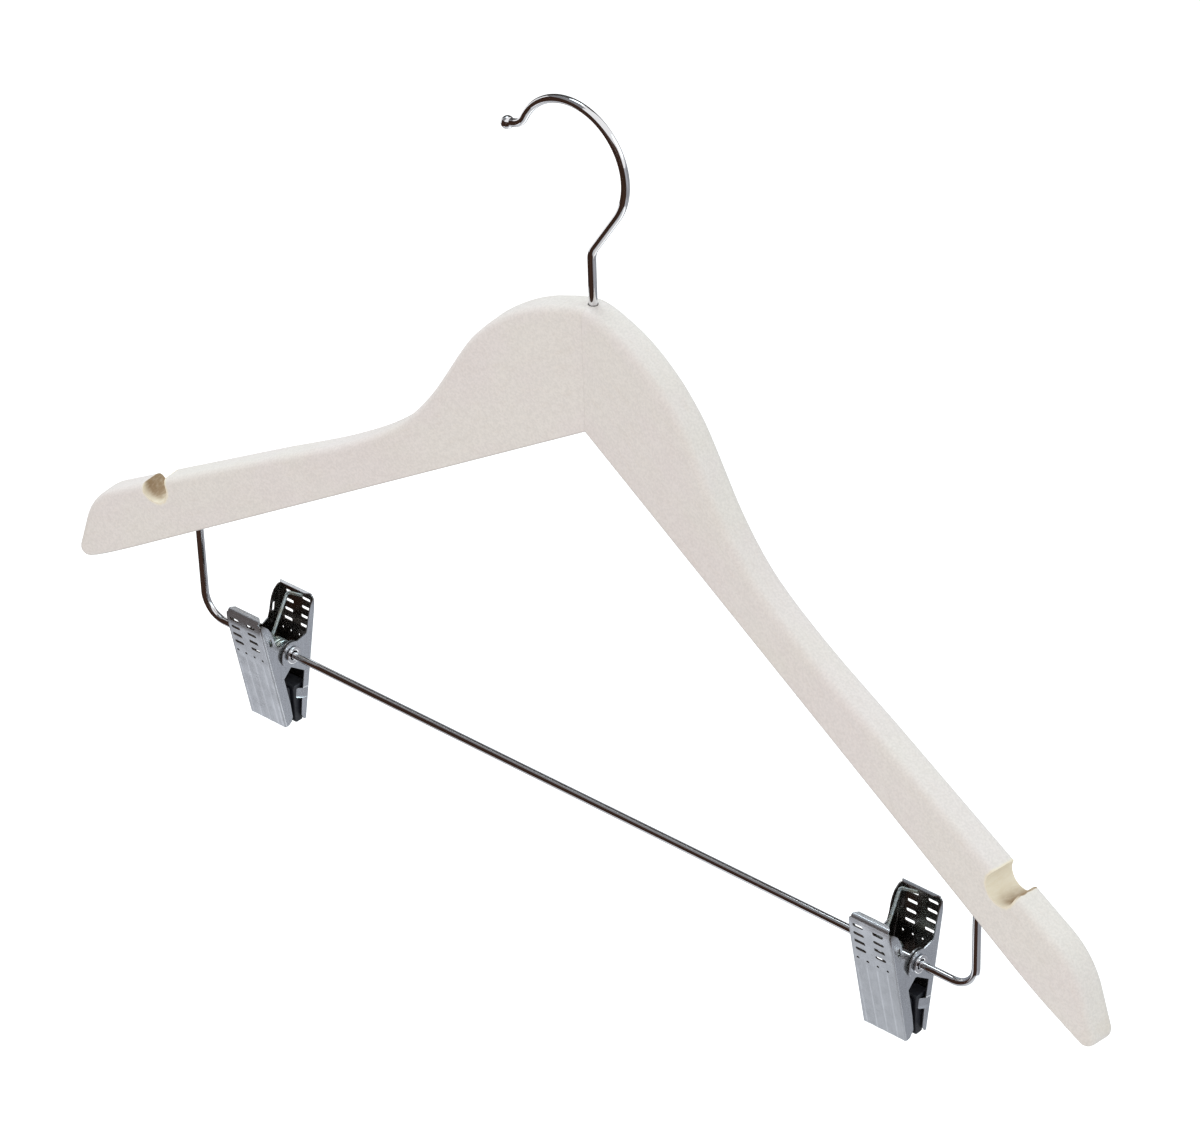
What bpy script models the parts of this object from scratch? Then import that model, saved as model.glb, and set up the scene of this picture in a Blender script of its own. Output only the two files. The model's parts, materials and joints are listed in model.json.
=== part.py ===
"""Wooden clothes hanger with a swivel hook, a trouser bar and two sliding spring clips.

Metres, +Z up. X runs along the arms and -Y is the front, the way the arms sweep.
The origin is inside the hook's loop, on the hook's swivel axis, where a rail carries it.
"""

import math

import bmesh
import bpy
from mathutils import Matrix, Vector

MM = 0.001

# Clearances
REST_GAP = 0.3 * MM  # between pieces that rest on, or are cut round, each other
CUT_OVERRUN = 2.0 * MM
WELD = 0.001 * MM
STROKE = 0.01 * MM  # shorter stretches of a wire's path are dropped

# Wooden arms. Reach runs along the arm, and depth is measured straight down.
TIP_REACH = 226.0 * MM  # to the tip's sharp lower corner, before it is rounded
THICKNESS = 11.5 * MM
SWEEP = math.radians(6.9)  # each arm turns forward by this about the hook's axis
UNDERSIDE_SLOPE = math.radians(29.2)
ARM_DEPTH_AT_HOOK = 13.2 * MM  # the arm's straight top edge, carried on to the middle
ARM_DEPTH_AT_TIP = 26.1 * MM
HUMP_RISE = 30.3 * MM  # the hump's top above that edge
HUMP_REACH = 130.0 * MM
END_LEAN = math.radians(19.0)  # the end face leans back by this
NOSE_ROUND = 27.0 * MM
HEEL_ROUND = 3.5 * MM
EDGE_ROUND = 3.0 * MM  # along the top, front and back
NOTCH_REACH = 184.7 * MM
NOTCH_RADIUS = 5.6 * MM
NOTCH_SINK = 2.4 * MM  # the cutter's centre below the top edge

# Share of the hump's reach, and share of its rise at that place
HUMP_SHARES = (
    (0.0, 1.0),
    (0.046, 1.081),
    (0.092, 1.13),
    (0.138, 1.168),
    (0.185, 1.178),
    (0.231, 1.16),
    (0.277, 1.115),
    (0.315, 1.045),
    (0.354, 0.945),
    (0.392, 0.79),
    (0.431, 0.605),
    (0.469, 0.43),
    (0.508, 0.29),
    (0.554, 0.165),
    (0.6, 0.085),
    (0.66, 0.03),
    (0.723, 0.002),
    (0.8, -0.014),
    (0.885, -0.012),
    (1.0, 0.0),
)

# Hook: one wire, bent in one plane, with a ball on its free end
HOOK_WIRE = 2.8 * MM
HOOK_STEM = 15.8 * MM  # from the wood's top to the first bend
HOOK_NECK_ROUND = 8.2 * MM
HOOK_NECK_TURN = math.radians(35.0)
HOOK_NECK_RUN = 16.4 * MM
HOOK_LOOP_ROUND = 21.9 * MM
HOOK_LOOP_TURN = math.radians(186.6)
HOOK_LIP_ROUND = 6.7 * MM
HOOK_LIP_TURN = math.radians(47.4)
HOOK_LIP_RUN = 2.6 * MM
HOOK_BALL = 4.4 * MM
HOOK_HEAD = 4.4 * MM  # upset head that the bush holds down
HOOK_HEAD_HEIGHT = 2.0 * MM
BEND_STEP = math.radians(9.0)

# Bush round the hook's shank, glued in between the two arms
BUSH_TOP_DEPTH = 5.0 * MM
BUSH_LENGTH = 14.0 * MM
BUSH_WALL = 1.2 * MM
SHANK_HOLE = 3.5 * MM
HEAD_ROOM = 1.5 * MM
HOOK_SHANK = BUSH_TOP_DEPTH + BUSH_LENGTH + HOOK_HEAD_HEIGHT + 2 * REST_GAP

# Trouser bar: a U of wire, its ends pressed up into the arms
BAR_WIRE = 2.75 * MM
BAR_HALF_WIDTH = 169.2 * MM
BAR_DROP = 131.4 * MM  # below the underside's peak
BAR_BEND = 9.0 * MM
BAR_GRIP = 14.0 * MM  # length of an end inside the arm

# Spring clips. A jaw is one stamping, and the back jaw is the same one turned round.
LEFT_CLIP_FROM_LEG = 32.8 * MM
RIGHT_CLIP_FROM_LEG = 31.4 * MM
SHEET = 0.8 * MM
JAW_WIDTH = 17.5 * MM
JAW_TOP_SPREAD = 13.4 * MM  # the plate's outer face from the pivot, at its top
JAW_TOP_RISE = 18.3 * MM
JAW_FOOT_SPREAD = 4.7 * MM
JAW_FOOT_DROP = 28.9 * MM
LIP_DEPTH = 3.0 * MM
LIP_INSET = 2.5 * MM
EAR_RADIUS = 4.9 * MM
NARROW_FLANGE = 3.2 * MM
WIDE_FLANGE = 4.5 * MM
FLANGE_START = 1.0 * MM
TAB_LENGTH = 3.8 * MM
TAB_REACH = 2.0 * MM
SLOT_LENGTH = 4.1 * MM
SLOT_HEIGHT = 1.2 * MM
SLOT_PITCH = 3.42 * MM
SLOT_FIRST = 3.6 * MM  # below the jaw's top
SLOT_ROWS = 4
DOT_RADIUS = 0.45 * MM
DOT_DEPTH = 18.0 * MM
SLOT_COLUMN_SHARES = (-0.265, 0.183)
DOT_SHARES = (-0.365, -0.14, 0.085, 0.31)

# Share of the jaw's length from its top, and share of the flange's depth there
FLANGE_TOP_SHARES = (
    (0.045, 0.42),
    (0.085, 0.72),
    (0.13, 0.88),
    (0.18, 0.97),
    (0.24, 1.0),
    (0.295, 1.12),
)
FLANGE_FOOT_SHARES = (
    (0.595, 1.0),
    (0.84, 1.0),
    (0.96, 0.9),
    (1.0, 0.45),
)

# Pivot: a hollow rivet that slides and turns on the bar
RIVET_PLAY = 0.35 * MM
RIVET_WALL = 0.45 * MM
RIVET_FLARE = 3.2 * MM
RIVET_HEAD = 0.7 * MM

# Torsion spring
SPRING_WIRE = 1.2 * MM
SPRING_COIL_GAP = 0.5 * MM
LEFT_SPRING_ASIDE = 3.1 * MM  # the coil's middle from the clip's middle
RIGHT_SPRING_ASIDE = -1.6 * MM
SPRING_WHOLE_TURNS = 2
SPRING_POINTS = 9  # in one turn
SPRING_LEG_TOP = 3.4 * MM  # the legs' corners below the jaw's top
SPRING_TIP_TOP = 2.2 * MM
BACK_LEG_LEAN = 1.9 * MM  # from the end of the coil out to the leg's corner
SPRING_FOOT = 6.5 * MM  # a leg's end, bent to lie along the jaw

# Rubber pads inside the jaws
PAD_WIDTH = 15.0 * MM
PAD_TOP_DROP = 14.5 * MM
PAD_FOOT_DROP = 29.6 * MM
PAD_ROUND = 1.2 * MM

TUBE_SIDE_COUNT = 16
RIVET_SIDE_COUNT = 20
HOLE_SIDE_COUNT = 16
NOTCH_SIDE_COUNT = 24
DOT_SIDE_COUNT = 8

# A slab's X and Y become Y and Z, and its thickness lies along X
SIDEWAYS = Matrix(((0, 0, 1, 0), (1, 0, 0, 0), (0, 1, 0, 0), (0, 0, 0, 1)))


def section(name):
    """A collection of its own in the scene."""
    made = bpy.data.collections.new(name)
    bpy.context.scene.collection.children.link(made)
    return made


def material(name, colour, roughness, metallic):
    made = bpy.data.materials.new(name)
    made.use_nodes = True
    shader = made.node_tree.nodes["Principled BSDF"]
    shader.inputs["Base Color"].default_value = (*colour, 1.0)
    shader.inputs["Roughness"].default_value = roughness
    shader.inputs["Metallic"].default_value = metallic
    made.diffuse_color = (*colour, 1.0)
    return made


def place(name, mesh, collection, matrix=None):
    """An object of this mesh, with its place in the object's own matrix."""
    made = bpy.data.objects.new(name, mesh)
    collection.objects.link(made)
    if matrix is not None:
        made.matrix_world = matrix
    return made


def as_cutter(made):
    made.hide_render = True
    made.display_type = "WIRE"
    return made


def finish(made, finish_material, smooth_angle=math.radians(35.0)):
    """Gives a finished piece its material and its shading."""
    mesh = made.data
    mesh.materials.clear()
    mesh.materials.append(finish_material)
    mesh.shade_smooth()
    mesh.set_sharp_from_angle(angle=smooth_angle)
    return made


def evaluated_mesh(made):
    """A mesh of the object as its modifiers leave it, welded."""
    bpy.context.view_layer.update()
    graph = bpy.context.evaluated_depsgraph_get()
    mesh = bpy.data.meshes.new_from_object(made.evaluated_get(graph))
    shape = bmesh.new()
    shape.from_mesh(mesh)
    bmesh.ops.remove_doubles(shape, verts=shape.verts, dist=WELD)
    shape.to_mesh(mesh)
    shape.free()
    return mesh


def mesh_of_curve(curve_data):
    """Turns a curve into a welded mesh and removes the curve."""
    made = place(curve_data.name, curve_data, bpy.context.scene.collection)
    mesh = evaluated_mesh(made)
    bpy.data.objects.remove(made)
    bpy.data.curves.remove(curve_data)
    return mesh


def slab(name, outline, thickness):
    """A flat outline in local X and Y, extruded to this thickness about Z."""
    curve = bpy.data.curves.new(name, "CURVE")
    curve.dimensions = "2D"
    curve.fill_mode = "BOTH"
    curve.extrude = thickness / 2
    spline = curve.splines.new("POLY")
    spline.points.add(len(outline) - 1)
    for point, (x, y) in zip(spline.points, outline):
        point.co = (x, y, 0.0, 1.0)
    spline.use_cyclic_u = True
    mesh = mesh_of_curve(curve)
    shape = bmesh.new()
    shape.from_mesh(mesh)
    bmesh.ops.dissolve_limit(
        shape, angle_limit=math.radians(0.5), verts=shape.verts, edges=shape.edges
    )
    bmesh.ops.recalc_face_normals(shape, faces=shape.faces)
    shape.to_mesh(mesh)
    shape.free()
    return mesh


def wire(name, points, diameter, resolution=2):
    """A round wire along these points."""
    curve = bpy.data.curves.new(name, "CURVE")
    curve.dimensions = "3D"
    curve.bevel_depth = diameter / 2
    curve.bevel_resolution = resolution
    curve.use_fill_caps = True
    spline = curve.splines.new("POLY")
    spline.points.add(len(points) - 1)
    for point, place_of_point in zip(spline.points, points):
        point.co = (*place_of_point, 1.0)
    return mesh_of_curve(curve)


def cylinder(name, radius, length, sides=HOLE_SIDE_COUNT):
    """A cylinder along local Z, about its middle."""
    mesh = bpy.data.meshes.new(name)
    shape = bmesh.new()
    bmesh.ops.create_cone(
        shape,
        cap_ends=True,
        segments=sides,
        radius1=radius,
        radius2=radius,
        depth=length,
    )
    shape.to_mesh(mesh)
    shape.free()
    return mesh


def ball(name, radius):
    mesh = bpy.data.meshes.new(name)
    shape = bmesh.new()
    bmesh.ops.create_uvsphere(shape, u_segments=16, v_segments=10, radius=radius)
    shape.to_mesh(mesh)
    shape.free()
    return mesh


def combine(made, others, operation):
    """A Boolean with every object of the collection."""
    change = made.modifiers.new(operation.lower(), "BOOLEAN")
    change.operation = operation
    change.operand_type = "COLLECTION"
    change.collection = others
    change.solver = "EXACT"
    return change


def arc(centre, radius, start, turn, steps):
    """Points of an arc, both ends included."""
    return [
        (
            centre[0] + radius * math.cos(start + turn * step / steps),
            centre[1] + radius * math.sin(start + turn * step / steps),
        )
        for step in range(steps + 1)
    ]


def fillet(before, corner, after, radius, steps):
    """The corner of an outline rounded to this radius."""
    corner, before, after = Vector(corner), Vector(before), Vector(after)
    to_before = (before - corner).normalized()
    to_after = (after - corner).normalized()
    half = to_before.angle(to_after) / 2
    centre = corner + (to_before + to_after).normalized() * (radius / math.sin(half))
    first = corner + to_before * (radius / math.tan(half)) - centre
    last = corner + to_after * (radius / math.tan(half)) - centre
    start = math.atan2(first.y, first.x)
    turn = math.atan2(first.cross(last), first.dot(last))
    return arc(centre, radius, start, turn, steps)


def curve_through(points, steps):
    """A smooth curve through the points, the same on both sides of the first one."""
    found = []
    for index in range(len(points) - 1):
        known = [
            Vector(points[min(max(index + offset, 0), len(points) - 1)])
            for offset in (-1, 0, 1, 2)
        ]
        if index == 0:
            known[0] = Vector((-known[2].x, known[2].y))
        for step in range(steps):
            t = step / steps
            found.append(
                tuple(
                    0.5
                    * (
                        2 * known[1]
                        + (known[2] - known[0]) * t
                        + (2 * known[0] - 5 * known[1] + 4 * known[2] - known[3]) * t**2
                        + (3 * known[1] - known[0] - 3 * known[2] + known[3]) * t**3
                    )
                )
            )
    return found + [points[-1]]


def bent_path(start, heading, moves):
    """The centre line of a wire from its list of runs and bends, and each bend's centre."""
    here, points, centres = Vector(start), [Vector(start)], []
    for kind, size, turn in moves:
        if kind == "run":
            here = here + Vector((math.cos(heading), math.sin(heading))) * size
            points.append(here)
            continue
        side = math.copysign(1.0, turn)
        to_centre = Vector((-math.sin(heading), math.cos(heading))) * side
        centre = here + to_centre * size
        steps = max(2, round(abs(turn) / BEND_STEP))
        begin = math.atan2(*reversed(here - centre))
        points += [Vector(p) for p in arc(centre, size, begin, turn, steps)[1:]]
        here, heading = points[-1], heading + turn
        centres.append(centre)
    tidy = [points[0]]
    for point in points[1:]:
        if (point - tidy[-1]).length > STROKE:
            tidy.append(point)
    return tidy, centres


def hook_path():
    """The hook's wire, with its height counted from the wood's top."""
    moves = (
        ("run", HOOK_SHANK + HOOK_STEM, 0.0),
        ("bend", HOOK_NECK_ROUND, -HOOK_NECK_TURN),
        ("run", HOOK_NECK_RUN, 0.0),
        ("bend", HOOK_LOOP_ROUND, HOOK_LOOP_TURN),
        ("bend", HOOK_LIP_ROUND, -HOOK_LIP_TURN),
        ("run", HOOK_LIP_RUN, 0.0),
    )
    return bent_path((0.0, -HOOK_SHANK), math.pi / 2, moves)


HOOK_POINTS, HOOK_CENTRES = hook_path()
LOOP_CENTRE = HOOK_CENTRES[1]
LOOP_INSIDE = HOOK_LOOP_ROUND - HOOK_WIRE / 2

# Heights, from the rail down
WOOD_TOP = -(LOOP_CENTRE.y + math.sqrt(LOOP_INSIDE**2 - LOOP_CENTRE.x**2))
PEAK = WOOD_TOP - ARM_DEPTH_AT_HOOK - HUMP_RISE  # of the underside
BAR_HEIGHT = PEAK - BAR_DROP
BAR_FORWARD = -BAR_HALF_WIDTH * math.tan(SWEEP)

# Each clip's place along the bar, and its spring's place on the clip's rivet
CLIPS = (
    ("left_clip", LEFT_CLIP_FROM_LEG - BAR_HALF_WIDTH, LEFT_SPRING_ASIDE),
    ("right_clip", BAR_HALF_WIDTH - RIGHT_CLIP_FROM_LEG, RIGHT_SPRING_ASIDE),
)


def arm_depth(reach):
    """Height of the arm's straight top edge over its underside."""
    share = reach / TIP_REACH
    return ARM_DEPTH_AT_HOOK + (ARM_DEPTH_AT_TIP - ARM_DEPTH_AT_HOOK) * share


def underside(reach):
    """Height of the underside, counted from its peak."""
    return -math.tan(UNDERSIDE_SLOPE) * reach


def top_edge(reach):
    return underside(reach) + arm_depth(reach)


def arm_outline():
    """One arm from the middle out: reach and height. It starts a little past the middle."""
    known = [
        (across * HUMP_REACH, top_edge(across * HUMP_REACH) + rise * HUMP_RISE)
        for across, rise in HUMP_SHARES
    ]
    hump = curve_through(known, 2)
    past_middle = -THICKNESS
    heel = (TIP_REACH, underside(TIP_REACH))
    rise = (top_edge(0.0) - top_edge(TIP_REACH)) / TIP_REACH
    lean = math.tan(END_LEAN)
    up_end = (top_edge(TIP_REACH) - heel[1]) / (1 - lean * rise)
    brow = (TIP_REACH - lean * up_end, heel[1] + up_end)
    nose = fillet(hump[-1], brow, heel, NOSE_ROUND, 7)
    foot = fillet(brow, heel, (0.0, 0.0), HEEL_ROUND, 5)
    return (
        [(past_middle, 0.0), (past_middle, hump[0][1])]
        + hump
        + nose
        + foot
        + [(0.0, 0.0)]
    )


def upright(side, matrix):
    """Turns a slab's X and Y into reach to this side and height, and its Z into depth."""
    turn = Matrix(((side, 0, 0, 0), (0, 0, -1, 0), (0, 1, 0, 0), (0, 0, 0, 1)))
    return matrix @ turn


def baked(mesh, matrix):
    """Applies a matrix to a mesh, and keeps its faces outward."""
    mesh.transform(matrix)
    if matrix.determinant() < 0:
        mesh.flip_normals()
    return mesh


def arm_frame(side):
    """The arm's own axes: X along the arm, Z up, the origin at the underside's peak."""
    return Matrix.Translation((0.0, 0.0, PEAK)) @ Matrix.Rotation(-side * SWEEP, 4, "Z")


def make_arm(name, side, parts, cutters, wood):
    """One arm: a sawn outline with rounded top edges, mitred at the middle, then drilled."""
    mesh = baked(slab(name, arm_outline(), THICKNESS), upright(side, Matrix()))
    shape = bmesh.new()
    shape.from_mesh(mesh)
    weights = shape.edges.layers.float.new("bevel_weight_edge")
    for edge in shape.edges:
        first, last = (vert.co for vert in edge.verts)
        if abs(first.y - last.y) > WELD:
            continue
        on_underside = all(
            abs(point.z - min(0.0, underside(side * point.x))) < WELD
            for point in (first, last)
        )
        at_middle = all(side * point.x < -WELD for point in (first, last))
        if not on_underside and not at_middle:
            edge[weights] = 1.0
    shape.to_mesh(mesh)
    shape.free()
    frame = arm_frame(side)
    arm = place(name, mesh, parts, frame)
    rounding = arm.modifiers.new("rounding", "BEVEL")
    rounding.width = EDGE_ROUND
    rounding.segments = 3
    rounding.limit_method = "WEIGHT"
    rounding.use_clamp_overlap = False
    tools = bpy.data.collections.new(name + "_cutters")
    cutters.children.link(tools)

    notch_height = top_edge(NOTCH_REACH) - NOTCH_SINK
    across = Matrix.Rotation(math.pi / 2, 4, "X")
    notch_at = Matrix.Translation((side * NOTCH_REACH, 0.0, notch_height))
    notch = cylinder("notch", NOTCH_RADIUS, THICKNESS + 2 * CUT_OVERRUN, NOTCH_SIDE_COUNT)
    as_cutter(place(name + "_notch", notch, tools, frame @ notch_at @ across))

    hole_reach = BAR_HALF_WIDTH / math.cos(SWEEP)
    hole_length = BAR_GRIP + REST_GAP + CUT_OVERRUN
    hole_middle = PEAK + underside(hole_reach) + BAR_GRIP + REST_GAP - hole_length / 2
    hole = cylinder("hole", BAR_WIRE / 2 + REST_GAP, hole_length)
    hole_at = Matrix.Translation((side * BAR_HALF_WIDTH, BAR_FORWARD, hole_middle))
    as_cutter(place(name + "_bar_hole", hole, tools, hole_at))

    pocket_length = BUSH_LENGTH + 2 * REST_GAP + HOOK_HEAD_HEIGHT + HEAD_ROOM
    pocket_top = WOOD_TOP - BUSH_TOP_DEPTH
    bush_radius = HOOK_WIRE / 2 + REST_GAP + BUSH_WALL
    pocket = cylinder("pocket", bush_radius + REST_GAP, pocket_length)
    pocket_at = Matrix.Translation((0.0, 0.0, pocket_top - pocket_length / 2))
    as_cutter(place(name + "_pocket", pocket, tools, pocket_at))
    shank_length = BUSH_TOP_DEPTH + 2 * CUT_OVERRUN
    shank = cylinder("shank", SHANK_HOLE / 2, shank_length)
    shank_at = Matrix.Translation((0.0, 0.0, WOOD_TOP + CUT_OVERRUN - shank_length / 2))
    as_cutter(place(name + "_shank_hole", shank, tools, shank_at))

    block = bpy.data.meshes.new("mitre")
    cube = bmesh.new()
    bmesh.ops.create_cube(cube, size=HUMP_REACH)
    cube.to_mesh(block)
    cube.free()
    off = -side * (HUMP_REACH / 2 - REST_GAP / 2)
    as_cutter(
        place(name + "_mitre", block, tools, Matrix.Translation((off, 0.0, PEAK)))
    )
    combine(arm, tools, "DIFFERENCE")
    arm.data = evaluated_mesh(arm)
    arm.modifiers.clear()
    return finish(arm, wood)


def make_hook(parts, cutters, chrome):
    points = [(p.x, 0.0, p.y + WOOD_TOP) for p in HOOK_POINTS]
    hook = place("hook", wire("hook", points, HOOK_WIRE, 2), parts)
    ends = bpy.data.collections.new("hook_ends")
    cutters.children.link(ends)
    tip = Matrix.Translation(points[-1])
    as_cutter(place("hook_ball", ball("hook_ball", HOOK_BALL / 2), ends, tip))
    head = cylinder("hook_head", HOOK_HEAD / 2, HOOK_HEAD_HEIGHT)
    low = Matrix.Translation((0.0, 0.0, points[0][2] + HOOK_HEAD_HEIGHT / 2))
    as_cutter(place("hook_head", head, ends, low))
    combine(hook, ends, "UNION")
    hook.data = evaluated_mesh(hook)
    hook.modifiers.clear()
    return finish(hook, chrome)


def turned(name, profile, axis_matrix, parts, finish_material, steps=TUBE_SIDE_COUNT):
    """A closed profile of radius and height, turned about local Z."""
    mesh = bpy.data.meshes.new(name)
    shape = bmesh.new()
    corners = [shape.verts.new((radius, 0.0, height)) for radius, height in profile]
    for first, last in zip(corners, corners[1:] + corners[:1]):
        shape.edges.new((first, last))
    shape.to_mesh(mesh)
    shape.free()
    made = place(name, mesh, parts)
    spin = made.modifiers.new("turning", "SCREW")
    spin.steps = spin.render_steps = steps
    spin.use_merge_vertices = False
    made.data = baked(evaluated_mesh(made), axis_matrix)
    made.modifiers.clear()
    return finish(made, finish_material)


def make_bush(parts, steel):
    inner = HOOK_WIRE / 2 + REST_GAP
    outer = inner + BUSH_WALL
    top = WOOD_TOP - BUSH_TOP_DEPTH - REST_GAP
    foot = top - BUSH_LENGTH
    profile = ((outer, top), (outer, foot), (inner, foot), (inner, top))
    return turned("hook_bush", profile, Matrix(), parts, steel)


def make_bar(parts, chrome):
    """The U of wire, drawn in its own upright plane."""
    end_height = PEAK + underside(BAR_HALF_WIDTH / math.cos(SWEEP)) + BAR_GRIP
    leg = end_height - BAR_HEIGHT - BAR_BEND
    half_run = BAR_HALF_WIDTH - BAR_BEND
    runs = 6
    moves = (
        [("run", leg, 0.0), ("bend", BAR_BEND, math.pi / 2)]
        + [("run", 2 * half_run / runs, 0.0)] * runs
        + [("bend", BAR_BEND, math.pi / 2), ("run", leg, 0.0)]
    )
    path, _ = bent_path((-BAR_HALF_WIDTH, end_height), -math.pi / 2, moves)
    points = [(p.x, BAR_FORWARD, p.y) for p in path]
    bar = place("trouser_bar", wire("trouser_bar", points, BAR_WIRE, 2), parts)
    return finish(bar, chrome)


JAW_LENGTH = math.hypot(JAW_TOP_SPREAD - JAW_FOOT_SPREAD, JAW_TOP_RISE + JAW_FOOT_DROP)
JAW_TILT = math.atan2(JAW_TOP_SPREAD - JAW_FOOT_SPREAD, JAW_TOP_RISE + JAW_FOOT_DROP)
JAW_ASIDE = -(SHEET + REST_GAP) / 2  # so that the two jaws' ears pass each other

# The front jaw's axes: X across, Y inward from the plate's outer face, Z up from its top
JAW_FRAME = Matrix.Translation((JAW_ASIDE, -JAW_TOP_SPREAD, JAW_TOP_RISE)) @ (
    Matrix.Rotation(JAW_TILT, 4, "X")
)
PIVOT_IN_JAW = JAW_FRAME.inverted() @ Vector((JAW_ASIDE, 0.0, 0.0))
PIVOT_INWARD = PIVOT_IN_JAW.y
PIVOT_DOWN = -PIVOT_IN_JAW.z


def flange_outline(depth, with_tab):
    """A side flange: distance in from the plate's face, and height below the jaw's top."""
    centre = (PIVOT_INWARD, -PIVOT_DOWN)
    outline = [(0.0, -FLANGE_START)]
    outline += [(depth * deep, -JAW_LENGTH * down) for down, deep in FLANGE_TOP_SHARES]
    outline += arc(centre, EAR_RADIUS, math.radians(115.0), -math.radians(205.0), 12)
    foot = [(depth * deep, -JAW_LENGTH * down) for down, deep in FLANGE_FOOT_SHARES]
    outline.append(foot[0])
    if with_tab:
        top = -JAW_LENGTH + (JAW_FOOT_DROP - PAD_TOP_DROP) - TAB_LENGTH / 2
        outline += [
            (depth, top),
            (depth + TAB_REACH, top),
            (depth + TAB_REACH, top - TAB_LENGTH),
            (depth, top - TAB_LENGTH),
        ]
    outline += foot[1:] + [(0.0, -JAW_LENGTH)]
    return outline


def obround(length, height, steps=5):
    """A slot's outline, about its middle."""
    reach = (length - height) / 2
    return arc((reach, 0.0), height / 2, -math.pi / 2, math.pi, steps) + arc(
        (-reach, 0.0), height / 2, math.pi / 2, math.pi, steps
    )


def jaw_mesh(cutters):
    """The stamping both jaws share, about its pivot: plate, two flanges and a folded lip."""
    half = JAW_WIDTH / 2
    steel = bpy.data.collections.new("jaw_steel")
    tools = bpy.data.collections.new("jaw_cutters")
    cutters.children.link(steel)
    cutters.children.link(tools)
    plate_outline = (
        (-half, -FLANGE_START),
        (-half + FLANGE_START, 0.0),
        (half - FLANGE_START, 0.0),
        (half, -FLANGE_START),
        (half, -JAW_LENGTH),
        (-half, -JAW_LENGTH),
    )
    face = upright(1, Matrix.Translation((0.0, SHEET / 2, 0.0)))
    plate = baked(slab("jaw_plate", plate_outline, SHEET), face)
    jaw = place("jaw", plate, cutters)
    for side, depth, tab in ((-1, NARROW_FLANGE, True), (1, WIDE_FLANGE, False)):
        sheet = slab("jaw_flange", flange_outline(depth, tab), SHEET)
        aside = Matrix.Translation((side * (half - SHEET / 2), 0.0, 0.0))
        place("jaw_flange", baked(sheet, aside @ SIDEWAYS), steel)
    lip_outline = (
        (-half + FLANGE_START, 0.0),
        (half - FLANGE_START, 0.0),
        (half - LIP_INSET, LIP_DEPTH),
        (-half + LIP_INSET, LIP_DEPTH),
    )
    lip = slab("jaw_lip", lip_outline, SHEET)
    lip.transform(Matrix.Translation((0.0, 0.0, -SHEET / 2)))
    place("jaw_lip", lip, steel)

    slot = slab("jaw_slot", obround(SLOT_LENGTH, SLOT_HEIGHT), SHEET + 2 * CUT_OVERRUN)
    for column in SLOT_COLUMN_SHARES:
        for row in range(SLOT_ROWS):
            down = SLOT_FIRST + row * SLOT_PITCH
            at = Matrix.Translation((column * JAW_WIDTH, SHEET / 2, -down))
            place("jaw_slot", baked(slot.copy(), upright(1, at)), tools)
    for column in DOT_SHARES:
        dot = cylinder("jaw_dot", DOT_RADIUS, SHEET + 2 * CUT_OVERRUN, DOT_SIDE_COUNT)
        at = Matrix.Translation((column * JAW_WIDTH, SHEET / 2, -DOT_DEPTH))
        place("jaw_dot", baked(dot, upright(1, at)), tools)
    hole = cylinder("jaw_hole", RIVET_OUTER + REST_GAP, JAW_WIDTH + 2 * CUT_OVERRUN)
    to_x = Matrix.Rotation(math.pi / 2, 4, "Y")
    at = Matrix.Translation((0.0, PIVOT_INWARD, -PIVOT_DOWN)) @ to_x
    place("jaw_hole", baked(hole, at), tools)
    for cutter in list(steel.objects) + list(tools.objects) + [jaw]:
        as_cutter(cutter)
    combine(jaw, steel, "UNION")
    combine(jaw, tools, "DIFFERENCE")
    mesh = evaluated_mesh(jaw)
    bpy.data.objects.remove(jaw)
    return baked(mesh, JAW_FRAME)


def pad_mesh():
    """A rubber block between a jaw's plate and the plane where the two pads meet."""
    inner = JAW_FRAME @ Matrix.Translation((0.0, SHEET + REST_GAP, 0.0))

    def on_plate(height):
        down = (inner.translation.z - height) / math.cos(JAW_TILT)
        return (inner @ Vector((0.0, 0.0, -down))).y

    top, foot, meet = -PAD_TOP_DROP, -PAD_FOOT_DROP, -REST_GAP / 2
    corners = [(on_plate(foot), foot), (on_plate(top), top), (meet, top), (meet, foot)]
    outline = (
        corners[:2]
        + fillet(corners[1], corners[2], corners[3], PAD_ROUND, 3)
        + fillet(corners[2], corners[3], corners[0], PAD_ROUND, 3)
    )
    mesh = slab("pad", outline, PAD_WIDTH)
    return baked(mesh, Matrix.Translation((JAW_ASIDE, 0.0, 0.0)) @ SIDEWAYS)


RIVET_INNER = BAR_WIRE / 2 + RIVET_PLAY
RIVET_OUTER = RIVET_INNER + RIVET_WALL
RIVET_SHOULDER = JAW_WIDTH / 2 - JAW_ASIDE + REST_GAP  # inside face of a flared head
RIVET_HALF = RIVET_SHOULDER + RIVET_HEAD
SPRING_COIL = RIVET_OUTER + REST_GAP + SPRING_WIRE / 2


def rivet_profile():
    half = (
        (RIVET_FLARE, RIVET_HALF),
        (RIVET_FLARE, RIVET_SHOULDER),
        (RIVET_OUTER, RIVET_SHOULDER),
    )
    lower = tuple((radius, -height) for radius, height in reversed(half))
    return half + lower + ((RIVET_INNER, -RIVET_HALF), (RIVET_INNER, RIVET_HALF))


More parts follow.
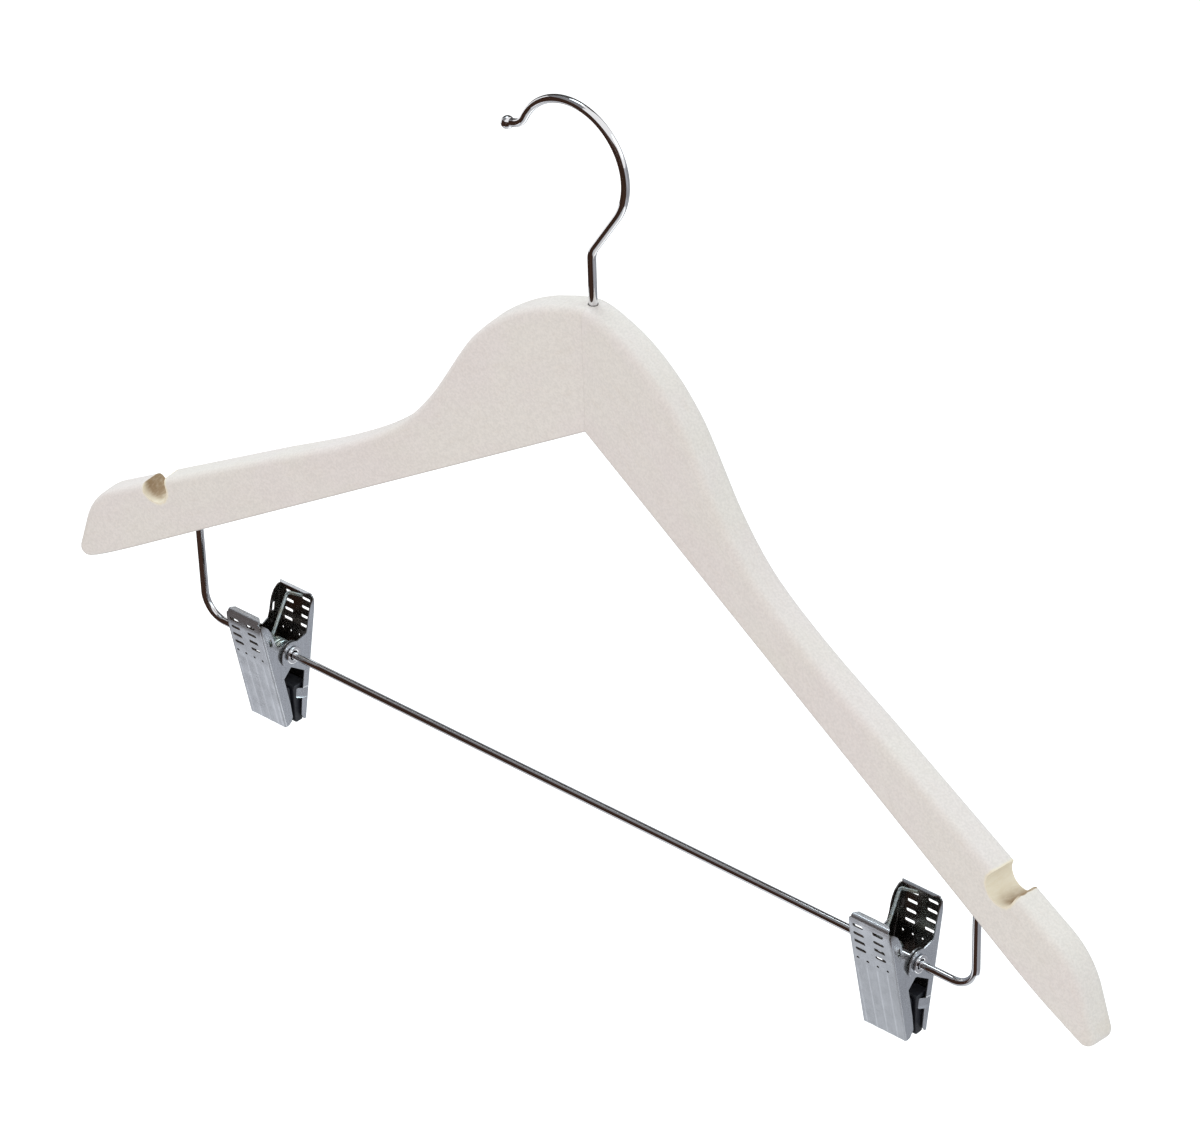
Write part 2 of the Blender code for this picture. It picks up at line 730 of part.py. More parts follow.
def spring_points():
    """A torsion spring about X: front leg, coil and back leg, each leg lying in its jaw."""
    lie = SHEET + REST_GAP + SPRING_WIRE / 2

    def in_jaw(x, down, back):
        point = JAW_FRAME @ Vector((0.0, lie, -down))
        return Vector((x, -point.y if back else point.y, point.z))

    corner = in_jaw(0.0, SPRING_LEG_TOP, False)
    reach = math.hypot(corner.y, corner.z)
    touch = math.atan2(corner.z, corner.y) + math.acos(SPRING_COIL / reach)
    turn = 2 * math.pi * SPRING_WHOLE_TURNS + (2 * touch - math.pi) % (2 * math.pi)
    pitch = SPRING_WIRE + SPRING_COIL_GAP
    width = pitch * turn / (2 * math.pi)
    steps = round(SPRING_POINTS * turn / (2 * math.pi))
    front_x, back_x = width / 2, -width / 2 - BACK_LEG_LEAN
    points = [
        in_jaw(front_x - SPRING_FOOT, SPRING_TIP_TOP, False),
        in_jaw(front_x, SPRING_LEG_TOP, False),
    ]
    for step in range(steps + 1):
        share = step / steps
        angle = touch + turn * share
        x = width / 2 - width * share
        around = Vector((0.0, math.cos(angle), math.sin(angle))) * SPRING_COIL
        points.append(Vector((x, 0.0, 0.0)) + around)
    points += [
        in_jaw(back_x, SPRING_LEG_TOP, True),
        in_jaw(back_x + SPRING_FOOT, SPRING_TIP_TOP, True),
    ]
    return points


def least_gap(points, wire_diameter, apart):
    """The least distance between stretches of a wire that are not neighbours, less the wire."""
    fine = []
    for first, last in zip(points, points[1:]):
        pieces = max(1, math.ceil((last - first).length / (wire_diameter / 4)))
        fine += [first.lerp(last, step / pieces) for step in range(pieces)]
    run, least = [0.0], math.inf
    for first, last in zip(fine, fine[1:]):
        run.append(run[-1] + (last - first).length)
    for i, first in enumerate(fine):
        for j in range(i + 1, len(fine)):
            if run[j] - run[i] > apart:
                least = min(least, (fine[j] - first).length)
    return least - wire_diameter


def make_clips(parts, cutters, finishes):
    jaw, pad = jaw_mesh(cutters), pad_mesh()
    points = spring_points()
    gap = least_gap(points, SPRING_WIRE, math.pi * SPRING_COIL)
    print(f"spring: least gap to itself {gap / MM:.2f} mm")
    spring = wire("spring", points, SPRING_WIRE, 1)
    for name, across, spring_aside in CLIPS:
        hub = bpy.data.objects.new(name, None)
        hub.location = (across, BAR_FORWARD, BAR_HEIGHT)
        parts.objects.link(hub)
        to_x = Matrix.Rotation(math.pi / 2, 4, "Y")
        pieces = [
            turned(
                name + "_rivet",
                rivet_profile(),
                to_x,
                parts,
                finishes["chrome"],
                RIVET_SIDE_COUNT,
            ),
        ]
        coil = finish(place(name + "_spring", spring.copy(), parts), finishes["zinc"])
        coil.location.x = spring_aside
        pieces.append(coil)
        for side, turn in (("front", 0.0), ("back", math.pi)):
            plate = place(f"{name}_{side}_jaw", jaw.copy(), parts)
            rubber = place(f"{name}_{side}_pad", pad.copy(), parts)
            finish(plate, finishes["chrome"])
            finish(rubber, finishes["rubber"])
            for piece in (plate, rubber):
                piece.rotation_euler.z = turn
                pieces.append(piece)
        for piece in pieces:
            piece.parent = hub


def main():
    for old in list(bpy.data.objects):
        bpy.data.objects.remove(old, do_unlink=True)
    parts, cutters = section("clothes_hanger"), section("cutters")
    finishes = {
        "wood": material("washed_wood", (0.78, 0.73, 0.68), 0.6, 0.0),
        "chrome": material("chrome", (0.75, 0.75, 0.77), 0.15, 1.0),
        "steel": material("steel", (0.5, 0.5, 0.52), 0.4, 1.0),
        "zinc": material("zinc_wire", (0.55, 0.62, 0.68), 0.3, 1.0),
        "rubber": material("black_rubber", (0.012, 0.013, 0.02), 0.6, 0.0),
    }
    make_arm("left_arm", -1, parts, cutters, finishes["wood"])
    make_arm("right_arm", 1, parts, cutters, finishes["wood"])
    make_hook(parts, cutters, finishes["chrome"])
    make_bush(parts, finishes["steel"])
    make_bar(parts, finishes["chrome"])
    make_clips(parts, cutters, finishes)
    bpy.context.view_layer.update()


main()
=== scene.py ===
"""Looks of a wooden clothes hanger: a swivel hook, a trouser bar and two spring clips.

Metres, +Z up. X runs along the arms and -Y is the front, the way the arms sweep.
The origin is inside the hook's loop, on the hook's swivel axis.
"""

import json
import math

import bmesh
import bpy
from mathutils import Matrix, Vector

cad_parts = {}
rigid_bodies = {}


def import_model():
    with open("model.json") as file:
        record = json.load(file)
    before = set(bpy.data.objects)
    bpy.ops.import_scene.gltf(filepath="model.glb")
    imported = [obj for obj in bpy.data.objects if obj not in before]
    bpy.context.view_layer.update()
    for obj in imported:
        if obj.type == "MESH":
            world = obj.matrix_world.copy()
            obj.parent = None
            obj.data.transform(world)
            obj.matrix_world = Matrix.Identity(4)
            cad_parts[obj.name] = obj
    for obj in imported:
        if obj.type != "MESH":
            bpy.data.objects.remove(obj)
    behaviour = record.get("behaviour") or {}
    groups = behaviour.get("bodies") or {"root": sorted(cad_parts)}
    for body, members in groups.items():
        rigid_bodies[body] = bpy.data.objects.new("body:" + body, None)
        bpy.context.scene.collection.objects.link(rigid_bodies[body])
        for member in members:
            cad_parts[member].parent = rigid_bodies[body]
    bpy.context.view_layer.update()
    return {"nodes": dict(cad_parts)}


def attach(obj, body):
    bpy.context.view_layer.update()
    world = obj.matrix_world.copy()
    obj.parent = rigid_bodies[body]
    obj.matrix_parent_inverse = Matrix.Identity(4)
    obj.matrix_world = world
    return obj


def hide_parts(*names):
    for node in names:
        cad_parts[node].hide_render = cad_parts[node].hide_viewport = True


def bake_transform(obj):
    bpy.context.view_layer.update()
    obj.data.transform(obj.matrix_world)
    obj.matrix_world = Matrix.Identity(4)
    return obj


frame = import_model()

bl_info = {
    "name": "Wooden Clothes Hanger",
    "version": (1, 0, 0),
    "blender": (4, 5, 0),
    "location": "3D View > Sidebar > Hanger",
    "description": "Builds a wooden hanger with its hook, trouser bar and spring clips",
    "category": "Add Mesh",
}

MM = 0.001
WELD = 0.001 * MM
OVERRUN = 2.0 * MM  # how far a cutter reaches past what it cuts

ALONG_X = Matrix.Rotation(math.pi / 2, 4, "Y")
ALONG_Y = Matrix.Rotation(math.pi / 2, 4, "X")
# An outline's X and Y become the piece's Y and Z, or its X and Z
FROM_SIDE = Matrix(((0, 0, 1, 0), (1, 0, 0, 0), (0, 1, 0, 0), (0, 0, 0, 1)))
FROM_FRONT = Matrix(((1, 0, 0, 0), (0, 0, -1, 0), (0, 1, 0, 0), (0, 0, 0, 1)))
BEVEL = {"offset_type": "OFFSET", "profile": 0.5, "affect": "EDGES", "material": -1}

# Sizes too small to be settings
BUSH_SLACK = 1.5 * MM  # room in the pocket under the shank's head
HEAD_EDGE = 0.3 * MM  # chamfer of the shank's head
BALL_OVERLAP = 0.3  # share of the ball's diameter that stands over the wire
TAB_ROUND = 0.5 * MM
TAB_LEAN = 0.6  # how far the tab leans in, for each step past the flange
FLANGE_BLANK = 22.0 * MM  # depth of a flange before it is trimmed
TRIM_REACH = 30.0 * MM  # the trimming ends past the blank's edge
TRIM_START = 1.5 * MM  # the trimming starts this far before the plate's face
TRIM_OVER_FOLD = 0.1 * MM  # the trimming's inner side, past the fold
HOLE_WALL = 0.02 * MM  # how far from a hole's edge a face still counts as its wall
PAD_EDGE = 0.45 * MM
RIVET_MOUTH = 0.5 * MM
LEG_BEND = 1.3 * MM

# Angles that no setting holds
STRAIGHT = 1e-4  # below this turn a wire counts as straight
BEND_STEP = math.radians(3.0)
COIL_STEP = math.radians(9.0)
BALL_END = math.radians(178.0)  # where the ball's last ring lies
EAR_START, EAR_TURN = math.radians(115.0), math.radians(-205.0)
PAD_CORNER = math.radians(40.0)  # an edge of the pad above this is eased

# Flutes of a jaw's plate
FLUTES_BELOW_DOTS = 0.6 * MM
FLUTE_RUN_IN = 2.6 * MM  # length over which the flutes grow deep
FLUTE_BEFORE_DOT = 1.1 * MM
FLUTE_FAN = 0.66 * MM  # how far the flutes shift sideways down to the foot
FLUTE_FADE = 0.8 * MM  # width over which they end at the sides
FLUTE_FULLNESS = 0.8  # power of the sine across one: below 1 is fuller
RIDGE_HIGHLIGHT = 0.42 * MM  # half the width of the painted highlight on the ridge between two flutes

# Shades that no setting holds
CREAM, ROSE = (0.785, 0.735, 0.685), (0.785, 0.712, 0.692)
WORN_TIP = (0.68, 0.58, 0.46)
# Painted shade for the arm's sharp lower edge
EDGE_SHADE = (0.42, 0.39, 0.37)
RAW_STREAK = (0.76, 0.65, 0.47)
PALE_RIM = (0.84, 0.78, 0.66)
# Painted shade inside the jaws' slots and small holes
HOLE_SHADE = (0.045, 0.03, 0.022)
ZINC_TINT = (0.55, 0.58, 0.52)
BUSH_STEEL, BUSH_STAIN = (0.5, 0.5, 0.52), (0.36, 0.33, 0.3)
RUBBER_DUST = (0.05, 0.052, 0.06)
WHITE = (1.0, 1.0, 1.0)
CARD_GREY = (0.40, 0.41, 0.44)
CARD_DULL = (0.24, 0.24, 0.25)
CARD_LIGHT = (0.63, 0.645, 0.665)
CARD_BRIGHT = (0.92, 0.94, 0.98)
CARD_BROWN = (0.06, 0.054, 0.05)

# Each soft light's place, width and tint. The setting of its name is its power
LAMPS = (
    ("overhead", (-1.0, 0.45, 1.3), 1.1, (0.80, 0.94, 1.0)),
    ("side", (1.5, 0.9, 0.8), 1.0, (0.75, 0.96, 1.0)),
    ("fill", (0.5, -2.3, 0.4), 1.4, (1.0, 0.955, 0.93)),
)
LAMP_TARGET = (0.0, 0.0, -0.15)

# The camera's right, up and back directions
CAMERA_AXES = (
    (0.75058112, 0.66021797, -0.02720699),
    (-0.34078712, 0.42204924, 0.84008249),
    (0.56612024, -0.62127826, 0.54177597),
)

# Share of the hump's reach, and share of its rise at that place
HUMP_SHARES = (
    (0.0, 1.0), (0.046, 1.081), (0.092, 1.13), (0.138, 1.168), (0.185, 1.178),
    (0.231, 1.16), (0.277, 1.115), (0.315, 1.045), (0.354, 0.945), (0.392, 0.79),
    (0.431, 0.605), (0.469, 0.43), (0.508, 0.29), (0.554, 0.165), (0.6, 0.085),
    (0.66, 0.03), (0.723, 0.002), (0.8, -0.014), (0.885, -0.012), (1.0, 0.0),
)

# Share of the jaw's length from its top, and share of the flange's depth there
FLANGE_TOP_SHARES = (
    (0.045, 0.42), (0.085, 0.72), (0.13, 0.88), (0.18, 0.97), (0.24, 1.0),
    (0.295, 1.12),
)
FLANGE_FOOT_SHARES = ((0.595, 1.0), (0.84, 1.0), (0.96, 0.9), (1.0, 0.45))

# Each slot column's and dot's place, as a share of the jaw's width from its middle
SLOT_COLUMN_SHARES = (-0.265, 0.183)
DOT_SHARES = (-0.365, -0.14, 0.085, 0.31)

# The small slot's middle in the wide flange, as a share of the flange's depth
DENT_SHARE = 0.62

# Shares of the sheet's thickness between which its colour turns from the outer steel to
# the inner side's painted shade
INSIDE_FROM, INSIDE_TO = 0.2, 0.8
RIDGE_UNTIL = 0.3  # past this share of that turn, a ridge gets no painted highlight


def length(name, description, millimetres):
    return bpy.props.FloatProperty(
        name=name, description=description, default=millimetres * MM, unit="LENGTH"
    )


def angle(name, description, degrees):
    return bpy.props.FloatProperty(
        name=name,
        description=description,
        default=math.radians(degrees),
        unit="ROTATION",
    )


def colour(name, description, red, green, blue):
    return bpy.props.FloatVectorProperty(
        name=name,
        description=description,
        default=(red, green, blue),
        subtype="COLOR",
        min=0.0,
        max=1.0,
    )


class HangerArmSettings(bpy.types.PropertyGroup):
    """Sizes and colours of the two wooden arms"""

    tip_reach: length("Tip reach", "From the middle to the tip, along the arm", 226.0)
    thickness: length("Thickness", "Thickness of the sawn board", 11.5)
    sweep: angle("Sweep", "How far each arm turns forward", 6.9)
    slope: angle("Slope", "How steeply the underside falls", 29.2)
    depth_at_hook: length("Depth at hook", "Straight top over the underside", 13.2)
    depth_at_tip: length("Depth at tip", "Straight top over the underside", 26.1)
    hump_rise: length("Hump rise", "The hump's top above the straight top", 30.3)
    hump_reach: length("Hump reach", "Length of the hump along the arm", 130.0)
    end_lean: angle("End lean", "How far the end face leans back", 19.0)
    nose_round: length("Nose round", "Radius of the tip's upper corner", 27.0)
    heel_round: length("Heel round", "Radius of the tip's lower corner", 3.5)
    edge_round: length("Edge round", "Radius along the top, front and back", 3.0)
    notch_reach: length("Notch reach", "From the middle to the notch", 184.7)
    notch_radius: length("Notch radius", "Radius of the drilled notch", 5.6)
    notch_sink: length("Notch sink", "The notch's centre below the top edge", 2.4)
    mitre_gap: length("Mitre gap", "Hairline between the two glued arms", 0.04)
    wash: colour("Wash", "Pale wash over the wood", 0.77, 0.728, 0.692)
    wash_thin: colour("Thin wash", "Where the wood shows through", 0.66, 0.575, 0.50)
    raw: colour("Raw wood", "Bare wood inside the notch", 0.84, 0.765, 0.625)
    # Brown of the notch's darker side: partly end grain, partly painted shade
    raw_end_grain_and_shade: colour("Darker wood", "Darker side of the notch", 0.35, 0.245, 0.15)


class HangerWireSettings(bpy.types.PropertyGroup):
    """Sizes and colour of the hook and the trouser bar"""

    hook_wire: length("Hook wire", "Diameter of the hook's wire", 2.8)
    stem: length("Stem", "From the wood's top to the first bend", 15.8)
    neck_round: length("Neck round", "Radius of the neck's bend", 8.2)
    neck_turn: angle("Neck turn", "How far the neck bends aside", 35.0)
    neck_run: length("Neck run", "Straight wire above the neck", 16.4)
    loop_round: length("Loop round", "Radius of the loop", 21.9)
    loop_turn: angle("Loop turn", "How far the loop goes round", 186.6)
    lip_round: length("Lip round", "Radius of the lip's bend", 6.7)
    lip_turn: angle("Lip turn", "How far the lip turns out", 47.4)
    lip_run: length("Lip run", "Straight wire before the ball", 2.6)
    ball: length("Ball", "Diameter of the ball on the free end", 4.4)
    head: length("Shank head", "Diameter of the upset head in the wood", 4.4)
    head_height: length("Head height", "Height of the upset head", 2.0)
    shank_hole: length("Shank hole", "Hole in the wood's top", 3.5)
    bush_depth: length("Bush depth", "The bush's top below the wood's top", 5.0)
    bush_length: length("Bush length", "Length of the bush", 14.0)
    bush_radius: length("Bush radius", "Outer radius of the bush", 2.9)
    gap: length("Gap", "Clearance between pieces that rest on each other", 0.3)
    bar_wire: length("Bar wire", "Diameter of the bar's wire", 2.75)
    bar_half_width: length("Bar half width", "From the middle to a leg", 169.2)
    bar_drop: length("Bar drop", "The bar below the underside's peak", 131.4)
    bar_bend: length("Bar bend", "Radius of the bar's two corners", 9.0)
    bar_grip: length("Bar grip", "Length of a leg's end inside the arm", 14.0)
    chrome: colour("Chrome", "Bright plate on the wires", 0.80, 0.80, 0.82)


class HangerClipSettings(bpy.types.PropertyGroup):
    """Sizes and colours of the two spring clips"""

    left_from_leg: length("Left clip", "From the bar's left leg", 32.8)
    right_from_leg: length("Right clip", "From the bar's right leg", 31.4)
    sheet: length("Sheet room", "Room that one stamped sheet takes up", 0.8)
    plate: length("Sheet", "Thickness of the stamped sheet", 0.5)
    fold: length("Fold", "Outer radius of the flanges' folds", 0.9)
    lip_fold: length("Lip fold", "Outer radius of the lip's fold", 1.2)
    top_roll: length("Top roll", "How far the plate's top rolls back", 0.5)
    roll_reach: length("Roll reach", "Height of the plate's rolled top", 5.2)
    width: length("Width", "Width of a jaw", 17.5)
    top_spread: length("Top spread", "The plate from the pivot, at its top", 13.4)
    top_rise: length("Top rise", "The jaw's top above the pivot", 18.3)
    foot_spread: length("Foot spread", "The plate from the pivot, at its foot", 4.7)
    foot_drop: length("Foot drop", "The jaw's foot below the pivot", 28.9)
    lip_depth: length("Lip depth", "How far the folded lip reaches in", 3.0)
    lip_inset: length("Lip inset", "How far the lip narrows on each side", 2.5)
    ear_radius: length("Ear radius", "Radius of the ears round the rivet", 4.9)
    narrow_flange: length("Narrow flange", "Depth of the side with the tab", 3.2)
    wide_flange: length("Wide flange", "Depth of the plain side", 4.5)
    flange_start: length("Flange start", "The flanges below the jaw's top", 1.0)
    tab_length: length("Tab length", "Height of the tab over the pad", 3.8)
    tab_reach: length("Tab reach", "How far the tab reaches in", 2.0)
    slot_length: length("Slot length", "Length of a slot", 4.1)
    slot_height: length("Slot height", "Height of a slot", 1.2)
    slot_pitch: length("Slot pitch", "From one slot to the next below", 3.42)
    slot_first: length("First slot", "The first slot below the jaw's top", 3.6)
    slot_rows: bpy.props.IntProperty(
        name="Slot rows", description="Slots in one column", default=4, min=1
    )
    dot_radius: length("Dot radius", "Radius of a small hole", 0.45)
    dot_depth: length("Dot depth", "The small holes below the jaw's top", 18.0)
    flute: length("Flute", "Depth of the plate's shallow flutes", 0.1)
    flute_width: length("Flute width", "From one flute to the next", 4.1)
    dent_length: length("Dent length", "Height of the slot in the wide flange", 2.2)
    dent_width: length("Dent width", "Width of the slot in the wide flange", 1.3)
    dent_depth: length("Dent depth", "That slot below the jaw's top", 10.4)
    play: length("Play", "Clearance of the rivet on the bar", 0.35)
    rivet_wall: length("Rivet wall", "Wall of the hollow rivet", 0.45)
    rivet_flare: length("Rivet flare", "Radius of the rivet's rolled heads", 3.2)
    rivet_head: length("Rivet head", "Thickness of a rolled head", 0.7)
    spring_wire: length("Spring wire", "Diameter of the spring's wire", 1.2)
    coil_gap: length("Coil gap", "Gap between two turns of the spring", 0.5)
    left_aside: length("Left spring", "The coil from the left clip's middle", 3.1)
    right_aside: length("Right spring", "The coil from the right clip's middle", -1.6)
    whole_turns: bpy.props.IntProperty(
        name="Whole turns", description="Whole turns of the spring", default=2, min=1
    )
    leg_top: length("Leg top", "The legs' corners below the jaw's top", 3.4)
    leg_tip: length("Leg tip", "The legs' tips below the jaw's top", 2.2)
    leg_lean: length("Leg lean", "How far the back leg leans aside", 1.9)
    leg_foot: length("Leg foot", "Length of a leg's bent end", 6.5)
    pad_width: length("Pad width", "Width of a rubber pad", 15.0)
    pad_top: length("Pad top", "The pad's top below the pivot", 14.5)
    pad_foot: length("Pad foot", "The pad's foot below the pivot", 29.6)
    pad_round: length("Pad round", "Radius of the pad's gripping corners", 1.2)
    steel: colour("Stamped steel", "Satin plate on the jaws", 0.60, 0.62, 0.66)
    # The inner side's colour is painted shade, where it lies between the jaws
    inner_steel_shade: colour("Inner steel", "Dull, shaded inner side", 0.27, 0.25, 0.235)
    zinc: colour("Zinc", "Bluish plate on the springs", 0.62, 0.75, 0.79)
    rubber: colour("Rubber", "Near-black rubber of the pads", 0.012, 0.013, 0.02)


class HangerStageSettings(bpy.types.PropertyGroup):
    """Camera, lights and floor"""

    camera_place: bpy.props.FloatVectorProperty(
        name="Camera",
        description="Where the camera stands",
        default=(0.8418, -0.92466, 0.6414),
        subtype="TRANSLATION",
        unit="LENGTH",
    )
    lens: bpy.props.FloatProperty(
        name="Lens", description="Focal length in millimetres", default=137.835
    )
    floor_height: length("Floor height", "The floor, counted from the rail", -900.0)
    floor: colour("Floor", "Pale floor", 0.82, 0.82, 0.82)
    surround: colour("Surround", "Dark room that metal reflects", 0.05, 0.026, 0.018)
    ambient: bpy.props.FloatProperty(
        name="Ambient", description="Strength of the light all round", default=0.73
    )
    overhead: bpy.props.FloatProperty(
        name="Overhead", description="Power of the light above, in watts", default=14.5
    )
    side: bpy.props.FloatProperty(
        name="Side", description="Power of the light at the right, in watts", default=8
    )
    fill: bpy.props.FloatProperty(
        name="Fill", description="Power of the light in front, in watts", default=11.5
    )


class Value:
    """One socket of a material, which takes part in sums as a number does."""

    def __init__(self, finish, socket):
        self.finish = finish
        self.socket = socket

    def __add__(self, other):
        return self.finish.maths("ADD", self, other)

    def __sub__(self, other):
        return self.finish.maths("SUBTRACT", self, other)

    def __rsub__(self, other):
        return self.finish.maths("SUBTRACT", other, self)

    def __mul__(self, other):
        return self.finish.maths("MULTIPLY", self, other)

    __radd__ = __add__
    __rmul__ = __mul__


class Finish:
    """The nodes of one material or of the world."""

    def __init__(self, owner):
        owner.use_nodes = True
        self.owner = owner
        self.tree = owner.node_tree
        self.tree.nodes.clear()

    def node(self, kind, settings=None, sockets=None, output=0):
        """Adds a node with its settings, feeds its sockets and returns one output."""
        made = self.tree.nodes.new(kind)
        for name, setting in (settings or {}).items():
            setattr(made, name, setting)
        for name, fed in (sockets or {}).items():
            self.feed(made.inputs[name], fed)
        return Value(self, made.outputs[output]) if len(made.outputs) else None

    def feed(self, socket, fed):
        if isinstance(fed, Value):
            self.tree.links.new(fed.socket, socket)
        elif hasattr(fed, "__len__") and len(fed) == 3 and socket.type == "RGBA":
            socket.default_value = (*fed, 1.0)
        else:
            socket.default_value = fed

    def maths(self, operation, first, second=0.0):
        sockets = {0: first, 1: second}
        return self.node("ShaderNodeMath", {"operation": operation}, sockets)

    def blend(self, factor, first, second):
        """Two colours mixed by a factor, on the Mix node's sockets for colours."""
        return self.node(
            "ShaderNodeMix", {"data_type": "RGBA"}, {0: factor, 6: first, 7: second}, 2
        )

    def ease(self, value, low, high, low_out=0.0, high_out=1.0):
        """Runs smoothly from one value to the other between two limits."""
        limits = {
            "Value": value,
            "From Min": low,
            "From Max": high,
            "To Min": low_out,
            "To Max": high_out,
        }
        smooth = {"interpolation_type": "SMOOTHSTEP"}
        return self.node("ShaderNodeMapRange", smooth, limits)

    def place(self, turn=(0.0, 0.0, 0.0), move=(0.0, 0.0, 0.0)):
        """The point of the surface in the object's own axes, turned and moved."""
        point = self.node("ShaderNodeTexCoord", output="Object")
        return self.moved(point, turn, move)

    def moved(self, point, turn=(0.0, 0.0, 0.0), move=(0.0, 0.0, 0.0), scale=(1, 1, 1)):
        sockets = {"Vector": point, "Location": move, "Rotation": turn, "Scale": scale}
        return self.node("ShaderNodeMapping", None, sockets)

    def part(self, point, axis):
        return self.node("ShaderNodeSeparateXYZ", None, {0: point}, axis)

    def noise(self, point, scale, detail=3.0, roughness=0.5, stretch=None):
        """Noise at a point, of this scale, drawn out where the stretch is below one."""
        if stretch is not None:
            point = self.moved(point, scale=stretch)
        sockets = {
            "Vector": point,
            "Scale": scale,
            "Detail": detail,
            "Roughness": roughness,
        }
        return self.node("ShaderNodeTexNoise", None, sockets)

    def marked(self, name):
        """A number that the mesh stores at its vertices or faces."""
        return self.node("ShaderNodeAttribute", {"attribute_name": name}, output="Fac")

    def scaled(self, shade, amount):
        """A colour made lighter or darker by a value."""
        sockets = {"Vector": shade, "Scale": amount}
        return self.node("ShaderNodeVectorMath", {"operation": "SCALE"}, sockets)

    def bump(self, height, distance, strength):
        sockets = {"Height": height, "Distance": distance, "Strength": strength}
        return self.node("ShaderNodeBump", None, sockets)

    def glow(self, shade, strength=1.0):
        sockets = {"Color": shade, "Strength": strength}
        return self.node("ShaderNodeEmission", None, sockets)

    def surface(self, colour_value, roughness, normal, **constants):
        """Ends the material in a Principled shader."""
        sockets = {"Base Color": colour_value, "Roughness": roughness, "Normal": normal}
        for name, constant in constants.items():
            sockets[name.replace("_", " ").title().replace("Ior", "IOR")] = constant
        return self.end(self.node("ShaderNodeBsdfPrincipled", None, sockets))

    def end(self, shader, kind="ShaderNodeOutputMaterial"):
        self.node(kind, None, {"Surface": shader})
        return self.owner


def washed_wood(name, arm, side):
    """Pale washed hardwood, with fine pores along the arm, painted shade on the sharp
    lower edge, and a raw notch, browner on one side and deeper in: partly end grain,
    partly painted shade.
    """
    finish = Finish(bpy.data.materials.new(name))
    own = finish.place((0.0, 0.0, side * arm.sweep), (0.0, 0.0, -heights()["peak"]))
    grain = finish.moved(own, (0.0, -side * arm.slope, 0.0))
    long_grain = finish.moved(grain, scale=(0.3, 1.0, 1.0))
    pores = finish.noise(long_grain, 1700.0, 2.0, 0.6)
    flecks = finish.noise(long_grain, 620.0, 3.0, 0.65)
    rays = finish.noise(grain, 240.0, 2.0, 0.5, (0.07, 0.6, 1.0))
    cloud = finish.noise(grain, 30.0, 3.0, 0.55)
    blush = finish.noise(grain, 42.0, 3.0, 0.55, (0.6, 1.0, 1.0))
    speck = finish.noise(grain, 1300.0, 2.0, 0.6)

    # The wood shows through the wash in its flecks, pores, rays and cloudy places
    thin = finish.ease(flecks, 0.5, 0.78) * 0.34 + finish.ease(pores, 0.56, 0.74) * 0.24
    thin = thin + finish.ease(rays, 0.46, 0.72) * 0.1
    thin = thin + finish.ease(cloud, 0.42, 0.72) * 0.14
    shade = finish.blend(thin, tuple(arm.wash), tuple(arm.wash_thin))
    blotches = finish.blend(finish.ease(blush, 0.38, 0.64), CREAM, ROSE)
    shade = finish.blend(0.55, shade, blotches)
    shade = finish.scaled(shade, finish.ease(speck, 0.3, 0.7, 1.045, 0.945))

    # The wash wears a little thin at the tip, and the sharp lower edge gets a painted
    # grey shade
    across = finish.part(own, 0) * float(side)
    up = finish.part(own, 2)
    worn_from, worn_to = arm.tip_reach - 9 * MM, arm.tip_reach + 1 * MM
    worn = finish.ease(across, worn_from, worn_to)
    patch = finish.noise(grain, 95.0, 3.0, 0.6)
    worn = worn * finish.ease(patch, 0.44, 0.66) * 0.4
    shade = finish.blend(worn, shade, WORN_TIP)
    above_under = up - across * -math.tan(arm.slope)
    edge_shade_height = 0.7 * MM
    lower = finish.ease(above_under, 0.0, edge_shade_height, 0.6, 0.0)
    shade = finish.blend(lower, shade, EDGE_SHADE)

    # The notch was drilled after the wash, so it shows bare wood inside a ragged rim
    off_x = across - arm.notch_reach
    off_z = up - (top_edge(arm, arm.notch_reach) - arm.notch_sink)
    chip, clear, soft_edge, pale_width = 0.9 * MM, 0.4 * MM, 0.3 * MM, 1.1 * MM
    ragged = (finish.noise(grain, 700.0, 2.0, 0.6) - 0.5) * chip
    away = finish.maths("SQRT", off_x * off_x + off_z * off_z) + ragged
    bare = arm.notch_radius + clear
    drilled = finish.ease(away, bare, bare + soft_edge, 1.0, 0.0)
    rim = finish.ease(away, bare, bare + pale_width, 1.0, 0.0)

    # One side of the notch is browner, and more so deeper in than near the front:
    # partly the wood's end grain, partly painted shade in the hole
    streaks = finish.noise(own, 900.0, 3.0, 0.6, (1.0, 0.35, 1.0))
    darker_side_from, darker_side_to = -4.5 * MM, 3.0 * MM
    deep = finish.ease(off_x, darker_side_from, darker_side_to)
    deep = deep * finish.ease(streaks, 0.28, 0.6, 0.7, 1.0)
    depth = finish.part(own, 1)
    deep = deep * finish.ease(depth, -0.48 * arm.thickness, -0.16 * arm.thickness)
    streaked = finish.ease(streaks, 0.35, 0.7) * 0.35
    raw = finish.blend(streaked, tuple(arm.raw), RAW_STREAK)
    raw = finish.blend(deep, raw, tuple(arm.raw_end_grain_and_shade))
    shade = finish.blend(rim * 0.5, shade, PALE_RIM)
    shade = finish.blend(drilled, shade, raw)

    rough = finish.ease(flecks, 0.3, 0.7, 0.5, 0.62) + drilled * 0.2
    relief = pores * -0.6 - flecks * 0.4 + speck * 0.25
    normal = finish.bump(relief, distance=0.05 * MM, strength=0.35)
    satin = {"specular_ior_level": 0.2, "coat_weight": 0.02, "coat_roughness": 0.4}
    return finish.surface(shade, rough, normal, **satin)


